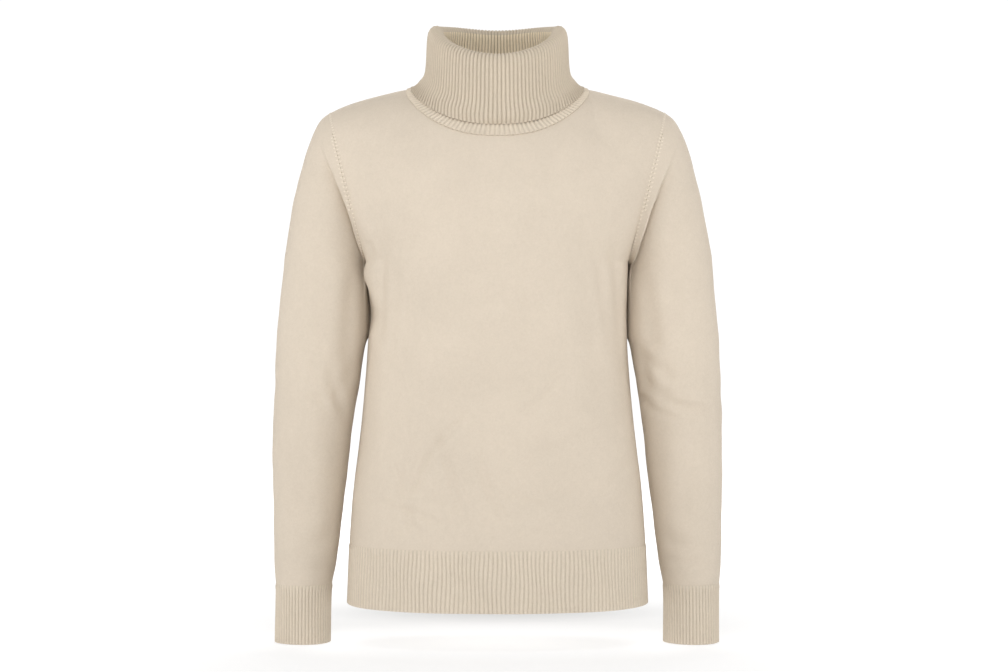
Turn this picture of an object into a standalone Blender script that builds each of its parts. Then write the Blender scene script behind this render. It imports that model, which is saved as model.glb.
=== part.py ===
"""A fine-knit roll-neck pullover, hollow as it is worn, with no wearer in it.

The frame is in metres. +Z is up, the front faces -Y and +X is the garment's left sleeve.
The origin is midway between the two shoulder lines at the foot of the neck,
where a wearer's shoulders carry the garment.
"""

from collections import namedtuple
from math import acos, asin, cos, degrees, exp, hypot, pi, radians, sin, sqrt

import bmesh
import bpy
from mathutils import Vector

# Cloth and seams
KNIT_WALL = 0.0015  # plain knit
RIB_WALL = 0.0014  # ribbed knit, at the bottom of a groove
RIB_RELIEF = 0.0010  # how far a rib stands out of its groove
SEAM_GAP = 0.0003
SEAM_SETBACK = 0.00035  # how much further back a wall's inner corner is, so that bent walls clear
FOLD_FADE = 0.030  # the folds die out this far from the side seams, where y is 0

# Rib counts
HEM_RIBS_A_PANEL = 96
CUFF_RIBS = 50
COLLAR_RIBS = 108

# Levels, measured down from the shoulder line at the foot of the neck
ARMPIT_Z = -0.206
HEM_TOP_Z = -0.542
HEM_BOTTOM_Z = -0.614
CUFF_TOP_Z = -0.590
CUFF_BOTTOM_Z = -0.660

# Shoulders and armholes
ARMPIT_X = 0.156
SHOULDER_POINT_X = 0.200
SHOULDER_SEAM_AT_NECK = radians(75.4)  # the seam lies in front of the ridge, which is at 90 degrees
SHOULDER_SEAM_AT_SLEEVE = radians(71.0)
FRONT_ARCH = 2.0  # roundness of the chest's profile towards the shoulder, 2 is an ellipse
BACK_ARCH = 2.8
SECTION_ROUNDNESS = 2.25  # of the torso's level sections
ARMHOLE_SHARE = 0.66  # of the torso's depth that is left at the armhole's top

# The neckline, a loop on the torso
NECK_HALF_WIDTH = 0.106
NECK_FRONT_ANGLE = radians(41.9)  # where it crosses the front's middle
NECK_BACK_ANGLE = radians(119.5)
NECKLINE_BEND = 1.15
INSET_TO_ANGLE = 1 / 0.18  # radians round the torso for each metre that a loop is drawn in

# Where the collar lies on the torso: at the foot of its inside and at its free edge
FOOT_INSET = 0.014
FREE_EDGE_FRONT_INSET = 0.0190
FREE_EDGE_SIDE_INSET = -0.001
FREE_EDGE_BACK_INSET = -0.014
FREE_EDGE_LIFT = 0.0034  # middle of its cloth above the torso's surface

# The sleeve head turns about a small fold under the arm, with a crease beside the armhole
UNDERARM_FOLD = 0.005
CREASE_FRONT_DEPTH = 0.009
CREASE_BACK_DEPTH = 0.006

# Mesh density
NECK_COLUMNS = 12
SHOULDER_COLUMNS = 4
PANEL_COLUMNS = NECK_COLUMNS + 2 * SHOULDER_COLUMNS
LOW_ROWS = 6
FRONT_ARMHOLE_STEPS = 9
BACK_ARMHOLE_STEPS = 12
SLEEVE_ARM_RINGS = 9
HEM_ROWS = 2
CUFF_ROWS = 2
OUTER_TO_INNER = 4  # outer columns of a ribbed wall for each inner one

TorsoSection = namedtuple("TorsoSection", "name z half_width front back")
TORSO = [
    TorsoSection("hem", -0.614, 0.1802, 0.116, 0.112),
    TorsoSection("rib top", -0.542, 0.1773, 0.116, 0.111),
    TorsoSection("hip", -0.480, 0.1727, 0.114, 0.107),
    TorsoSection("waist", -0.400, 0.1636, 0.110, 0.100),
    TorsoSection("midriff", -0.340, 0.1588, 0.109, 0.098),
    TorsoSection("ribs", -0.300, 0.1556, 0.1095, 0.0985),
    TorsoSection("under arm", -0.262, 0.1545, 0.111, 0.101),
    TorsoSection("armpit", -0.206, 0.156, 0.112, 0.105),
]

RidgePoint = namedtuple("RidgePoint", "x z")
SHOULDER_RIDGE = [
    RidgePoint(0.000, 0.0085),
    RidgePoint(0.060, 0.0065),
    RidgePoint(0.107, 0.0015),
    RidgePoint(0.1404, -0.0062),
    RidgePoint(0.1674, -0.0134),
    RidgePoint(0.1872, -0.0204),
    RidgePoint(0.200, -0.0262),
]

# The outline of the sleeve head from the front, about the fold under the arm
HeadReach = namedtuple("HeadReach", "angle reach")
SLEEVE_HEAD = [
    HeadReach(0.0, 0.1011),
    HeadReach(17.0, 0.1022),
    HeadReach(31.0, 0.1091),
    HeadReach(43.0, 0.1213),
    HeadReach(53.0, 0.1372),
    HeadReach(61.0, 0.1555),
    HeadReach(68.0, 0.1744),
    HeadReach(72.2, 0.1849),
    HeadReach(76.2, 0.1902),
]

# How deep the crease beside the armhole is along the sleeve head, as a share of its depth
HeadStage = namedtuple("HeadStage", "sweep crease")
HEAD_STAGES = [
    HeadStage(0.000, 0.00),
    HeadStage(0.100, 1.00),
    HeadStage(0.170, 0.80),
    HeadStage(0.290, 0.38),
    HeadStage(0.450, 0.10),
    HeadStage(0.620, 0.00),
    HeadStage(0.810, 0.00),
    HeadStage(1.000, 0.00),
]

ArmSection = namedtuple("ArmSection", "name z inner outer front back")
ARM = [
    ArmSection("biceps", -0.2109, 0.1598, 0.2559, 0.052, 0.054),
    ArmSection("upper arm", -0.240, 0.1561, 0.2596, 0.052, 0.054),
    ArmSection("above elbow", -0.300, 0.1569, 0.2654, 0.051, 0.054),
    ArmSection("elbow top", -0.345, 0.1632, 0.2672, 0.049, 0.053),
    ArmSection("elbow", -0.400, 0.1725, 0.2688, 0.046, 0.050),
    ArmSection("forearm", -0.475, 0.1828, 0.2694, 0.043, 0.043),
    ArmSection("above cuff", -0.560, 0.1928, 0.2674, 0.038, 0.033),
    ArmSection("cuff top", -0.590, 0.1968, 0.2658, 0.0355, 0.0275),
    ArmSection("cuff bottom", -0.660, 0.1985, 0.2660, 0.0355, 0.0275),
]

# The middle of the collar's cloth, from the foot of the inside up, over the roll and down outside.
# dip is how late the ring drops towards the front, and bow how full it is between side and front.
CollarRing = namedtuple("CollarRing", "name half_width front back side_z front_z back_z dip bow")
COLLAR = [
    CollarRing("inside low", 0.0765, 0.0730, 0.0560, 0.0200, -0.0350, 0.0150, 1.15, 1.00),
    CollarRing("inside high", 0.0705, 0.0670, 0.0535, 0.0660, 0.0230, 0.0690, 1.40, 1.00),
    CollarRing("roll inside", 0.0725, 0.0685, 0.0555, 0.0748, 0.0318, 0.0778, 1.42, 1.00),
    CollarRing("roll top", 0.0768, 0.0725, 0.0600, 0.0780, 0.0348, 0.0810, 1.42, 1.00),
    CollarRing("roll outside", 0.0808, 0.0770, 0.0645, 0.0740, 0.0310, 0.0770, 1.42, 1.00),
    CollarRing("outside high", 0.0832, 0.0795, 0.0670, 0.0640, 0.0220, 0.0665, 1.40, 1.00),
    CollarRing("outside low", 0.0858, 0.0803, 0.0690, 0.0245, -0.0200, 0.0200, 1.30, 0.94),
    CollarRing("flare", 0.0925, 0.0810, 0.0700, 0.0130, -0.0370, 0.0020, 1.22, 0.82),
]

# Soft folds as lines on the front or back view: a trough has a positive depth
Fold = namedtuple("Fold", "name x1 z1 x2 z2 depth width faces")
SLEEVE_FOLDS = [
    Fold("elbow crease, upper", 0.158, -0.322, 0.205, -0.352, 0.0035, 0.013, "both"),
    Fold("elbow crease, lower", 0.170, -0.394, 0.226, -0.376, 0.0030, 0.013, "front"),
]
BODY_FOLDS = [
    Fold("side crease, outer", 0.143, -0.214, 0.141, -0.310, 0.0030, 0.012, "both"),
    Fold("side crease, inner", 0.118, -0.240, 0.124, -0.350, 0.0020, 0.014, "front"),
]


def lookup(table, key, value, at):
    """A smooth curve through one column of a table, read at a place along another."""
    keys = [getattr(row, key) for row in table]
    values = [getattr(row, value) for row in table]
    if keys[0] > keys[-1]:
        keys.reverse()
        values.reverse()
    at = min(max(at, keys[0]), keys[-1])
    i = max(j for j in range(len(keys) - 1) if keys[j] <= at)

    def slope(j):
        low, high = max(j - 1, 0), min(j + 1, len(keys) - 1)
        return (values[high] - values[low]) / (keys[high] - keys[low])

    span = keys[i + 1] - keys[i]
    f = (at - keys[i]) / span
    rise = values[i + 1] - values[i]
    start, end = slope(i) * span, slope(i + 1) * span
    return values[i] + f * (start + f * (3 * rise - 2 * start - end + f * (start + end - 2 * rise)))


def blend(a, b, f):
    return a + (b - a) * f


def power(value, exponent):
    return abs(value) ** exponent


def evenly(point_at, count, samples=400):
    """Parameters from 0 to 1 at which a curve's points lie the same distance apart."""
    points = [point_at(i / samples) for i in range(samples + 1)]
    reached = [0.0]
    for a, b in zip(points, points[1:]):
        reached.append(reached[-1] + (b - a).length)
    found, i = [], 0
    for k in range(count + 1):
        wanted = reached[-1] * k / count
        while i < samples - 1 and reached[i + 1] < wanted:
            i += 1
        found.append((i + (wanted - reached[i]) / (reached[i + 1] - reached[i])) / samples)
    return found


# The torso


def torso_low(face, across, z):
    """A point of the torso below the armpits. face is -1 on the front and 1 on the back,
    and across runs from -1 at one side seam to 1 at the other."""
    turn = abs(across) * pi / 2
    half_width = lookup(TORSO, "z", "half_width", z)
    depth = lookup(TORSO, "z", "front" if face < 0 else "back", z)
    x = half_width * power(sin(turn), 2 / SECTION_ROUNDNESS)
    y = depth * power(cos(turn), 2 / SECTION_ROUNDNESS)
    return Vector((x if across > 0 else -x, face * y, z))


def arch_at(angle):
    return FRONT_ARCH if angle < pi / 2 else BACK_ARCH


def rise_at(angle):
    """How high an angle of the upper torso is, from 0 at the armpits to 1 on the shoulder ridge."""
    return power(sin(angle), 2 / arch_at(angle))


def armhole_x(rise):
    return blend(ARMPIT_X, SHOULDER_POINT_X, rise)


def torso_high(x, angle):
    """A point of the torso above the armpits. The angle is 0 at the front's armpit level,
    90 degrees on the shoulder ridge and 180 at the back's armpit level."""
    depth = -TORSO[-1].front if angle < pi / 2 else TORSO[-1].back
    rise = rise_at(angle)
    left = power(cos(angle), 2 / arch_at(angle))  # of the depth, at this height
    at_armhole = ARMHOLE_SHARE * sqrt(2 * rise / (1 + rise))
    reach = armhole_x(rise) / (1 - at_armhole**SECTION_ROUNDNESS) ** (1 / SECTION_ROUNDNESS)
    section = (1 - (abs(x) / reach) ** SECTION_ROUNDNESS) ** (1 / SECTION_ROUNDNESS)
    z = blend(ARMPIT_Z, lookup(SHOULDER_RIDGE, "x", "z", abs(x)), rise)
    return Vector((x, depth * left * section, z))


def armhole_angle(turn):
    """Where the armhole lies on the torso. turn is 0 under the arm, pi on the shoulder's ridge
    and less than pi in front of it."""
    rise = (1 - cos(turn)) / 2
    if turn <= pi:
        return asin(rise ** (FRONT_ARCH / 2))
    return pi - asin(rise ** (BACK_ARCH / 2))


SHOULDER_SEAM_TURN = acos(1 - 2 * sin(SHOULDER_SEAM_AT_SLEEVE) ** (2 / FRONT_ARCH))


def armhole_turns(face):
    """The turns from the underarm to the shoulder seam, along the front or the back panel."""
    if face < 0:
        return [SHOULDER_SEAM_TURN * i / FRONT_ARMHOLE_STEPS for i in range(FRONT_ARMHOLE_STEPS + 1)]
    way = 2 * pi - SHOULDER_SEAM_TURN
    return [2 * pi - way * i / BACK_ARMHOLE_STEPS for i in range(BACK_ARMHOLE_STEPS + 1)]


def neckline(turn, inset=0.0):
    """A loop round the neck as (x, angle on the torso), drawn in by an inset from the neck seam.
    turn is 0 at the front's middle and pi at the back's."""
    share = ((1 - cos(turn)) / 2) ** NECKLINE_BEND
    drawn_in = inset * INSET_TO_ANGLE
    angle = blend(NECK_FRONT_ANGLE + drawn_in, NECK_BACK_ANGLE - drawn_in, share)
    return (NECK_HALF_WIDTH - inset) * sin(turn), angle


def top_edge(face, column):
    """Where a column of a panel ends: on the neckline, or further out on the shoulder seam.
    The column is counted from the panel's middle."""
    corner, last = NECK_COLUMNS / 2, PANEL_COLUMNS / 2
    side = 1 if column > 0 else -1
    if abs(column) <= corner:
        turn = abs(column) / corner * pi / 2
        x, angle = neckline(turn if face < 0 else pi - turn)
    else:
        along = (abs(column) - corner) / (last - corner)
        x = blend(NECK_HALF_WIDTH, SHOULDER_POINT_X, along)
        angle = blend(SHOULDER_SEAM_AT_NECK, SHOULDER_SEAM_AT_SLEEVE, along)
    return side * x, angle


def panel_point(face, column, low_across, turn):
    """A point of the front or back panel above the armpits, level with the armhole at a turn."""
    start = 0 if face < 0 else pi
    climb = (armhole_angle(turn) - start) / (SHOULDER_SEAM_AT_SLEEVE - start)
    top_x, top_angle = top_edge(face, column)
    angle = blend(start, top_angle, climb)
    low_share = power(sin(abs(low_across) * pi / 2), 2 / SECTION_ROUNDNESS)
    high_share = min(abs(top_x) / armhole_x(rise_at(top_angle)), 1.0)
    x = blend(low_share, high_share, climb) * armhole_x(rise_at(angle))
    return torso_high(x if column > 0 else -x, angle)


# The sleeves


def armhole(turn):
    """A point of the armhole seam."""
    return torso_high(armhole_x((1 - cos(turn)) / 2), armhole_angle(turn))


def sleeve_head(turn, sweep):
    """A point of the sleeve head. sweep is 0 at the armhole seam and 1 level with the armpit."""
    rise = (1 - cos(turn)) / 2
    front = sin(turn) >= 0
    steepest = radians(SLEEVE_HEAD[-1].angle)
    pivot = Vector((ARMPIT_X, 0, ARMPIT_Z)) - UNDERARM_FOLD * Vector((cos(steepest), 0, sin(steepest)))

    def swept(f):
        angle = steepest * (1 - f)
        reach = blend(UNDERARM_FOLD, lookup(SLEEVE_HEAD, "angle", "reach", degrees(angle)), rise)
        return pivot + reach * Vector((cos(angle), 0, sin(angle)))

    seam = armhole(turn)
    point = swept(sweep) + (Vector((seam.x, 0, seam.z)) - swept(0)) * (1 - sweep) ** 2
    arm_y = -sin(turn) * (ARM[0].front if front else ARM[0].back)
    crease = (CREASE_FRONT_DEPTH if front else -CREASE_BACK_DEPTH) * power(sin(turn), 1.5)
    crease *= lookup(HEAD_STAGES, "sweep", "crease", sweep)
    point.y = blend(seam.y, arm_y, sweep * sweep * (3 - 2 * sweep)) + crease
    return point


def arm_point(turn, z):
    """A point of the sleeve, or of the cuff, below the armpit."""
    inner, outer = lookup(ARM, "z", "inner", z), lookup(ARM, "z", "outer", z)
    depth = lookup(ARM, "z", "front" if sin(turn) >= 0 else "back", z)
    return Vector((blend(inner, outer, (1 - cos(turn)) / 2), -depth * sin(turn), z))


# The collar


def collar_ring(ring, turn):
    """A point of the collar's middle. turn is 0 at the front and pi / 2 on the +X side."""
    c, front = cos(turn), cos(turn) > 0
    z = blend(ring.side_z, ring.front_z if front else ring.back_z, power(c, ring.dip))
    y = power(c, ring.bow) * (-ring.front if front else ring.back)
    return Vector((ring.half_width * sin(turn), y, z))


def neck_loop(turn, inset=0.0, lift=0.0):
    """A point of a loop that lies on the torso round the neck, or is lifted off it."""
    side, turn = (1, turn) if turn <= pi else (-1, 2 * pi - turn)
    x, angle = neckline(turn, inset)
    step = 0.001
    point = torso_high(x, angle)
    outwards = (torso_high(x + step, angle) - point).cross(torso_high(x, angle + step) - point)
    point += outwards.normalized() * lift
    point.x *= side
    return point


def neck_seam(turn):
    """The seam's loop, straight between the ends of the panels' columns as the panels are."""
    step = pi / NECK_COLUMNS
    i = int(turn / step)
    return neck_loop(i * step).lerp(neck_loop((i + 1) * step), turn / step - i)


def free_edge(turn):
    c = cos(turn)
    end = FREE_EDGE_FRONT_INSET if c > 0 else FREE_EDGE_BACK_INSET
    return neck_loop(turn, blend(FREE_EDGE_SIDE_INSET, end, power(c, 1.2)), FREE_EDGE_LIFT)


# Folds


def fold_shift(folds, point):
    """How far the folds push a point into the garment."""
    total = 0.0
    for fold in folds:
        if fold.faces == "front" and point.y > 0:
            continue
        ax, az = fold.x1, fold.z1
        bx, bz = fold.x2 - ax, fold.z2 - az
        px, pz = abs(point.x) - ax, point.z - az
        along = min(max((px * bx + pz * bz) / (bx * bx + bz * bz), 0.0), 1.0)
        away = hypot(px - along * bx, pz - along * bz)
        total += fold.depth * exp(-((away / fold.width) ** 2)) * sin(pi * (0.15 + 0.7 * along))
    return total * min(abs(point.y) / FOLD_FADE, 1.0)


# Meshes


def pulled_in(rows, seams):
    """Moves a sheet's border rows and columns into the sheet, by the distance stated for each seam."""

    def towards(a, b, distance):
        return a + (b - a).normalized() * distance

    rows = [list(row) for row in rows]
    if "start" in seams:
        rows[0] = [towards(a, b, seams["start"]) for a, b in zip(rows[0], rows[1])]
    if "end" in seams:
        rows[-1] = [towards(a, b, seams["end"]) for a, b in zip(rows[-1], rows[-2])]
    if "sides" in seams:
        for row in rows:
            row[0] = towards(row[0], row[1], seams["sides"])
            row[-1] = towards(row[-1], row[-2], seams["sides"])
    return rows


def normals_of(rows, closed):
    """The unit normal at each point of a sheet, on the side where columns turn to rows."""
    columns = len(rows[0])
    normals = [[Vector() for _ in row] for row in rows]
    for r in range(len(rows) - 1):
        for c in range(columns if closed else columns - 1):
            n = (c + 1) % columns
            facing = (rows[r + 1][n] - rows[r][c]).cross(rows[r + 1][c] - rows[r][n])
            for row, column in ((r, c), (r, n), (r + 1, c), (r + 1, n)):
                normals[row][column] += facing
    return [[normal.normalized() for normal in row] for row in normals]


def moved_out(rows, distance, closed):
    """The sheet's points moved along their normals. distance is a number or a function of a point."""
    normals = normals_of(rows, closed)
    return [
        [p + n * (distance(p) if callable(distance) else distance) for p, n in zip(row, line)]
        for row, line in zip(rows, normals)
    ]


def with_ribs(rows, closed):
    """Every second column of a sheet raised, as the ridges of ribbed knitting."""
    raised = moved_out(rows, RIB_RELIEF, closed)
    return [
        [high if c % 2 else low for c, (low, high) in enumerate(zip(row, high_row))]
        for row, high_row in zip(rows, raised)
    ]


def wall_mesh(outer, inner, closed):
    """The closed wall between an outer sheet and an inner one that has fewer columns or as many."""
    made = bmesh.new()
    outside, inside = [[[made.verts.new(p) for p in row] for row in rows] for rows in (outer, inner)]
    for rows, outwards in ((outside, True), (inside, False)):
        columns = len(rows[0])
        for low, high in zip(rows, rows[1:]):
            for c in range(columns if closed else columns - 1):
                n = (c + 1) % columns
                for corners in ((low[c], low[n], high[n]), (low[c], high[n], high[c])):
                    made.faces.new(corners if outwards else corners[::-1])
    spans = len(inside[0]) if closed else len(inside[0]) - 1
    step = (len(outside[0]) if closed else len(outside[0]) - 1) // spans
    for row in (0, -1):
        for i in range(spans):
            a, b = inside[row][i], inside[row][(i + 1) % len(inside[row])]
            rim = [outside[row][(i * step + k) % len(outside[row])] for k in range(step + 1)]
            fans = [(a if k < step // 2 else b, rim[k], rim[k + 1]) for k in range(step)]
            fans.append((a, rim[step // 2], b))
            for fan in fans:
                made.faces.new(fan if row == 0 else fan[::-1])
    if not closed:
        for side in (0, -1):
            for r in range(len(outside) - 1):
                made.faces.new((outside[r][side], outside[r + 1][side], inside[r + 1][side], inside[r][side]))
    bmesh.ops.recalc_face_normals(made, faces=made.faces)
    return made


def cloth(name, outer, thickness, ribbed, closed, seams, colour, collection):
    """A piece of cloth, its outer face on a sheet's points. seams holds how far the borders
    named in it are drawn back from their seams."""
    outer = pulled_in(outer, seams)
    inner = pulled_in(moved_out(outer, -thickness, closed), dict.fromkeys(seams, SEAM_SETBACK))
    if ribbed:
        outer = with_ribs(outer, closed)
        inner = [row[::OUTER_TO_INNER] for row in inner]
    mesh = bpy.data.meshes.new(name)
    made = wall_mesh(outer, inner, closed)
    made.to_mesh(mesh)
    made.free()
    mesh.shade_smooth()
    mesh.set_sharp_from_angle(angle=radians(50))
    mesh.materials.append(knit_material(name + "_knit", colour))
    piece = bpy.data.objects.new(name, mesh)
    collection.objects.link(piece)


def knit_material(name, colour):
    material = bpy.data.materials.new(name)
    material.use_nodes = True
    surface = material.node_tree.nodes["Principled BSDF"]
    surface.inputs["Base Color"].default_value = (*colour, 1)
    surface.inputs["Roughness"].default_value = KNIT_ROUGHNESS
    surface.inputs["Metallic"].default_value = 0.0
    return material


# The pieces

BEIGE = (0.745, 0.655, 0.533)
RIB_BEIGE = (0.680, 0.590, 0.470)
KNIT_ROUGHNESS = 0.9


def even_places(face, count, z):
    """Places across a panel, the same distance apart at a level below the armpits."""
    places = [2 * f - 1 for f in evenly(lambda f: torso_low(face, 2 * f - 1, z), count)]
    return places if face < 0 else places[::-1]


def make_panel(face, collection):
    places = even_places(face, PANEL_COLUMNS, ARMPIT_Z)
    columns = [-face * (c - PANEL_COLUMNS / 2) for c in range(PANEL_COLUMNS + 1)]
    levels = [blend(HEM_TOP_Z, ARMPIT_Z, i / LOW_ROWS) for i in range(LOW_ROWS)]
    rows = [[torso_low(face, across, z) for across in places] for z in levels]
    rows += [
        [panel_point(face, column, across, turn) for column, across in zip(columns, places)]
        for turn in armhole_turns(face)
    ]
    rows = moved_out(rows, lambda p: -fold_shift(BODY_FOLDS, p), False)
    name = "front_panel" if face < 0 else "back_panel"
    seams = {"start": SEAM_GAP / 2, "end": SEAM_GAP / 2, "sides": SEAM_GAP / 2}
    cloth(name, rows, KNIT_WALL, False, False, seams, BEIGE, collection)


def make_hem_rib(face, collection):
    places = even_places(face, HEM_RIBS_A_PANEL * 2, HEM_TOP_Z)
    levels = [blend(HEM_BOTTOM_Z, HEM_TOP_Z, i / HEM_ROWS) for i in range(HEM_ROWS + 1)]
    rows = [[torso_low(face, across, z) for across in places] for z in levels]
    name = "hem_rib_front" if face < 0 else "hem_rib_back"
    seams = {"end": SEAM_GAP / 2, "sides": SEAM_GAP / 2}
    cloth(name, rows, RIB_WALL, True, False, seams, RIB_BEIGE, collection)


def mirrored(rows, side):
    """The rows for the +X side as they are, or for the -X side mirrored and turned round."""
    if side > 0:
        return rows
    return [[Vector((-p.x, p.y, p.z)) for p in reversed(row)] for row in rows]


def make_sleeve(side, collection):
    turns = armhole_turns(-1) + armhole_turns(1)[-2:0:-1]
    heights = [blend(ARM[0].z, CUFF_TOP_Z, i / SLEEVE_ARM_RINGS) for i in range(SLEEVE_ARM_RINGS + 1)]
    rows = [[arm_point(turn, z) for turn in turns] for z in reversed(heights)]
    rows += [[sleeve_head(turn, stage.sweep) for turn in turns] for stage in HEAD_STAGES[-2::-1]]
    rows = moved_out(rows, lambda p: -fold_shift(SLEEVE_FOLDS, p), True)
    name = "sleeve_left" if side > 0 else "sleeve_right"
    seams = {"start": SEAM_GAP / 2, "end": SEAM_GAP}
    cloth(name, mirrored(rows, side), KNIT_WALL, False, True, seams, BEIGE, collection)


def make_cuff(side, collection):
    columns = CUFF_RIBS * 2
    turns = [2 * pi * f for f in evenly(lambda f: arm_point(2 * pi * f, CUFF_BOTTOM_Z), columns)][:-1]
    levels = [blend(CUFF_BOTTOM_Z, CUFF_TOP_Z, i / CUFF_ROWS) for i in range(CUFF_ROWS + 1)]
    rows = [[arm_point(turn, z) for turn in turns] for z in levels]
    name = "cuff_left" if side > 0 else "cuff_right"
    cloth(name, mirrored(rows, side), RIB_WALL, True, True, {"end": SEAM_GAP / 2}, RIB_BEIGE, collection)


def make_collar(collection):
    """One ribbed tube, linked to the neckline, up inside and folded down outside."""
    middle = COLLAR[len(COLLAR) // 2]
    turns = [2 * pi * f for f in evenly(lambda f: collar_ring(middle, 2 * pi * f), COLLAR_RIBS * 2)][:-1]
    rows = [[neck_seam(turn) for turn in turns]]
    rows += [[neck_loop(turn, FOOT_INSET) for turn in turns]]
    rows += [[collar_ring(ring, turn) for turn in turns] for ring in COLLAR]
    rows += [[free_edge(turn) for turn in turns]]
    rows = [row[::-1] for row in rows]  # so that the ribs are on the face that shows
    rows = moved_out(rows, RIB_WALL / 2, True)
    cloth("collar", rows, RIB_WALL, True, True, {"start": SEAM_GAP}, RIB_BEIGE, collection)


def main():
    for left_over in list(bpy.data.objects):
        bpy.data.objects.remove(left_over)
    pullover = bpy.data.collections.new("roll_neck_pullover")
    bpy.context.scene.collection.children.link(pullover)
    for face in (-1, 1):
        make_panel(face, pullover)
        make_hem_rib(face, pullover)
    for side in (-1, 1):
        make_sleeve(side, pullover)
        make_cuff(side, pullover)
    make_collar(pullover)


main()
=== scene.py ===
from math import acos, pi, radians, sin

import bmesh
import bpy
import numpy as np
from mathutils import Matrix, Vector


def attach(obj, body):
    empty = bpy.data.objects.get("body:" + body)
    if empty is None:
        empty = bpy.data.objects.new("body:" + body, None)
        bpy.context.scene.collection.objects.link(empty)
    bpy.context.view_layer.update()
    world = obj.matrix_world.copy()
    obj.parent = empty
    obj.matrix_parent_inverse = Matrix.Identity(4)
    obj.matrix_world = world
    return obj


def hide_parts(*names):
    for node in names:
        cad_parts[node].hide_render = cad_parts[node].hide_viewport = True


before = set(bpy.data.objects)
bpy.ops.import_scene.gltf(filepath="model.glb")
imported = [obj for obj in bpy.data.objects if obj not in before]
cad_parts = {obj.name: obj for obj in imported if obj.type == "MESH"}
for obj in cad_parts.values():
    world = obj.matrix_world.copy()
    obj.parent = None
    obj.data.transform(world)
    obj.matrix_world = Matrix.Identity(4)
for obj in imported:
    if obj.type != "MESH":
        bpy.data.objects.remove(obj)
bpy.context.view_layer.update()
bpy.ops.object.select_all(action="DESELECT")
scene = bpy.context.scene
print("frame loaded:", sorted(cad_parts))


# the camera stands level with the middle of the garment, square to its front

view = {
    "distance": 2.8,
    "acrossPicture": 1.2096,  # metres that the picture's width covers at the side seams
    "target": (0.0078, 0.0, -0.294),
    "sensorMm": 36,
}
targetX, targetY, targetZ = view["target"]
bpy.ops.object.camera_add(location=(targetX, targetY - view["distance"], targetZ), rotation=(pi / 2, 0, 0))
camera = bpy.context.object
camera.name = "photoCamera"
camera.data.sensor_width = view["sensorMm"]
camera.data.lens = view["sensorMm"] * view["distance"] / view["acrossPicture"]
scene.camera = camera
print("camera set")


# small helpers for tables, curves and surfaces


def rowsOf(columns, rows):  # rows of named columns, with 0 where a row stops short
    names = columns.split()
    return [{**dict.fromkeys(names, 0), **dict(zip(names, row))} for row in rows]


def blend(a, b, share):
    return a + (b - a) * share


def smoothStep(low, high, value):
    share = np.clip((value - low) / (high - low), 0, 1)
    return share * share * (3 - 2 * share)


def bell(value, width):
    return np.exp(-((value / width) ** 2))


def smoothCurve(keys, values, at):  # through every point, with the slope of its two neighbours
    keys, values = np.array(keys, float), np.array(values, float)
    if keys[0] > keys[-1]:
        keys, values = keys[::-1], values[::-1]
    slopes = np.gradient(values, keys)
    slopes[1:-1] = (values[2:] - values[:-2]) / (keys[2:] - keys[:-2])
    at = np.clip(at, keys[0], keys[-1])
    i = np.clip(np.searchsorted(keys, at, side="right") - 1, 0, len(keys) - 2)
    span = keys[i + 1] - keys[i]
    f = (at - keys[i]) / span
    rise = values[i + 1] - values[i]
    start, end = slopes[i] * span, slopes[i + 1] * span
    return values[i] + f * (start + f * (3 * rise - 2 * start - end + f * (start + end - 2 * rise)))


def column(rows, name, at, key="z"):  # one column of a table, read at a level
    keys = [row[key] for row in rows]
    return smoothCurve(keys, [row[name] for row in rows], at)


def evenly(curveAt, count, samples=2001):  # places from 0 to 1 that divide a curve into equal lengths
    places = np.linspace(0, 1, samples)
    steps = np.linalg.norm(np.diff(curveAt(places), axis=0), axis=1)
    reached = np.concatenate([[0], np.cumsum(steps)])
    return np.interp(np.linspace(0, reached[-1], count + 1), reached, places)


def points(x, y, z):
    return np.stack(np.broadcast_arrays(x, y, z), axis=-1)


def normalsOf(sheet, closed):  # of a grid of points, on the side where columns turn to rows
    if closed:
        sheet = np.concatenate([sheet[:, -2:-1], sheet, sheet[:, 1:2]], axis=1)
    normals = np.cross(np.gradient(sheet, axis=1), np.gradient(sheet, axis=0))
    if closed:
        normals = normals[:, 1:-1]
    return normals / np.maximum(np.linalg.norm(normals, axis=-1, keepdims=True), 1e-12)


# the garment's form: level sections of the body, the ridge of the shoulders, the yoke and the neckline

torso = rowsOf("z halfWidth front back", [
    (-0.614, 0.1802, 0.116, 0.112),
    (-0.542, 0.1773, 0.116, 0.111),
    (-0.48, 0.1727, 0.114, 0.107),
    (-0.4, 0.1632, 0.11, 0.1),
    (-0.34, 0.1578, 0.109, 0.098),
    (-0.3, 0.1552, 0.1095, 0.0985),
    (-0.262, 0.1545, 0.111, 0.101),
    (-0.206, 0.156, 0.112, 0.105),
])
shoulderRidge = rowsOf("x z", [
    (0.0, 0.0085),
    (0.06, 0.0065),
    (0.107, 0.0015),
    (0.1404, -0.0062),
    (0.1674, -0.0134),
    (0.1872, -0.0204),
    (0.2, -0.0262),
])
yoke = {
    "armpitZ": -0.206,
    "armpitX": 0.156,
    "shoulderX": 0.200,
    "seamAtNeck": radians(75.4),  # the shoulder seam lies in front of the ridge, which is at 90 degrees
    "seamAtSleeve": radians(71.0),
    "frontArch": 2.0,
    "backArch": 2.8,
    "roundness": 2.25,  # of the level sections
    "depthAtArmhole": 0.66,
}
neck = {
    "halfWidth": 0.106,
    "frontAngle": radians(42.8),
    "backAngle": radians(119.5),
    "bend": 1.15,
    "insetToAngle": 1 / 0.18,
}
levels = {"hemBottom": -0.614, "hemTop": -0.542, "cuffBottom": -0.660, "cuffTop": -0.590}


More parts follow.
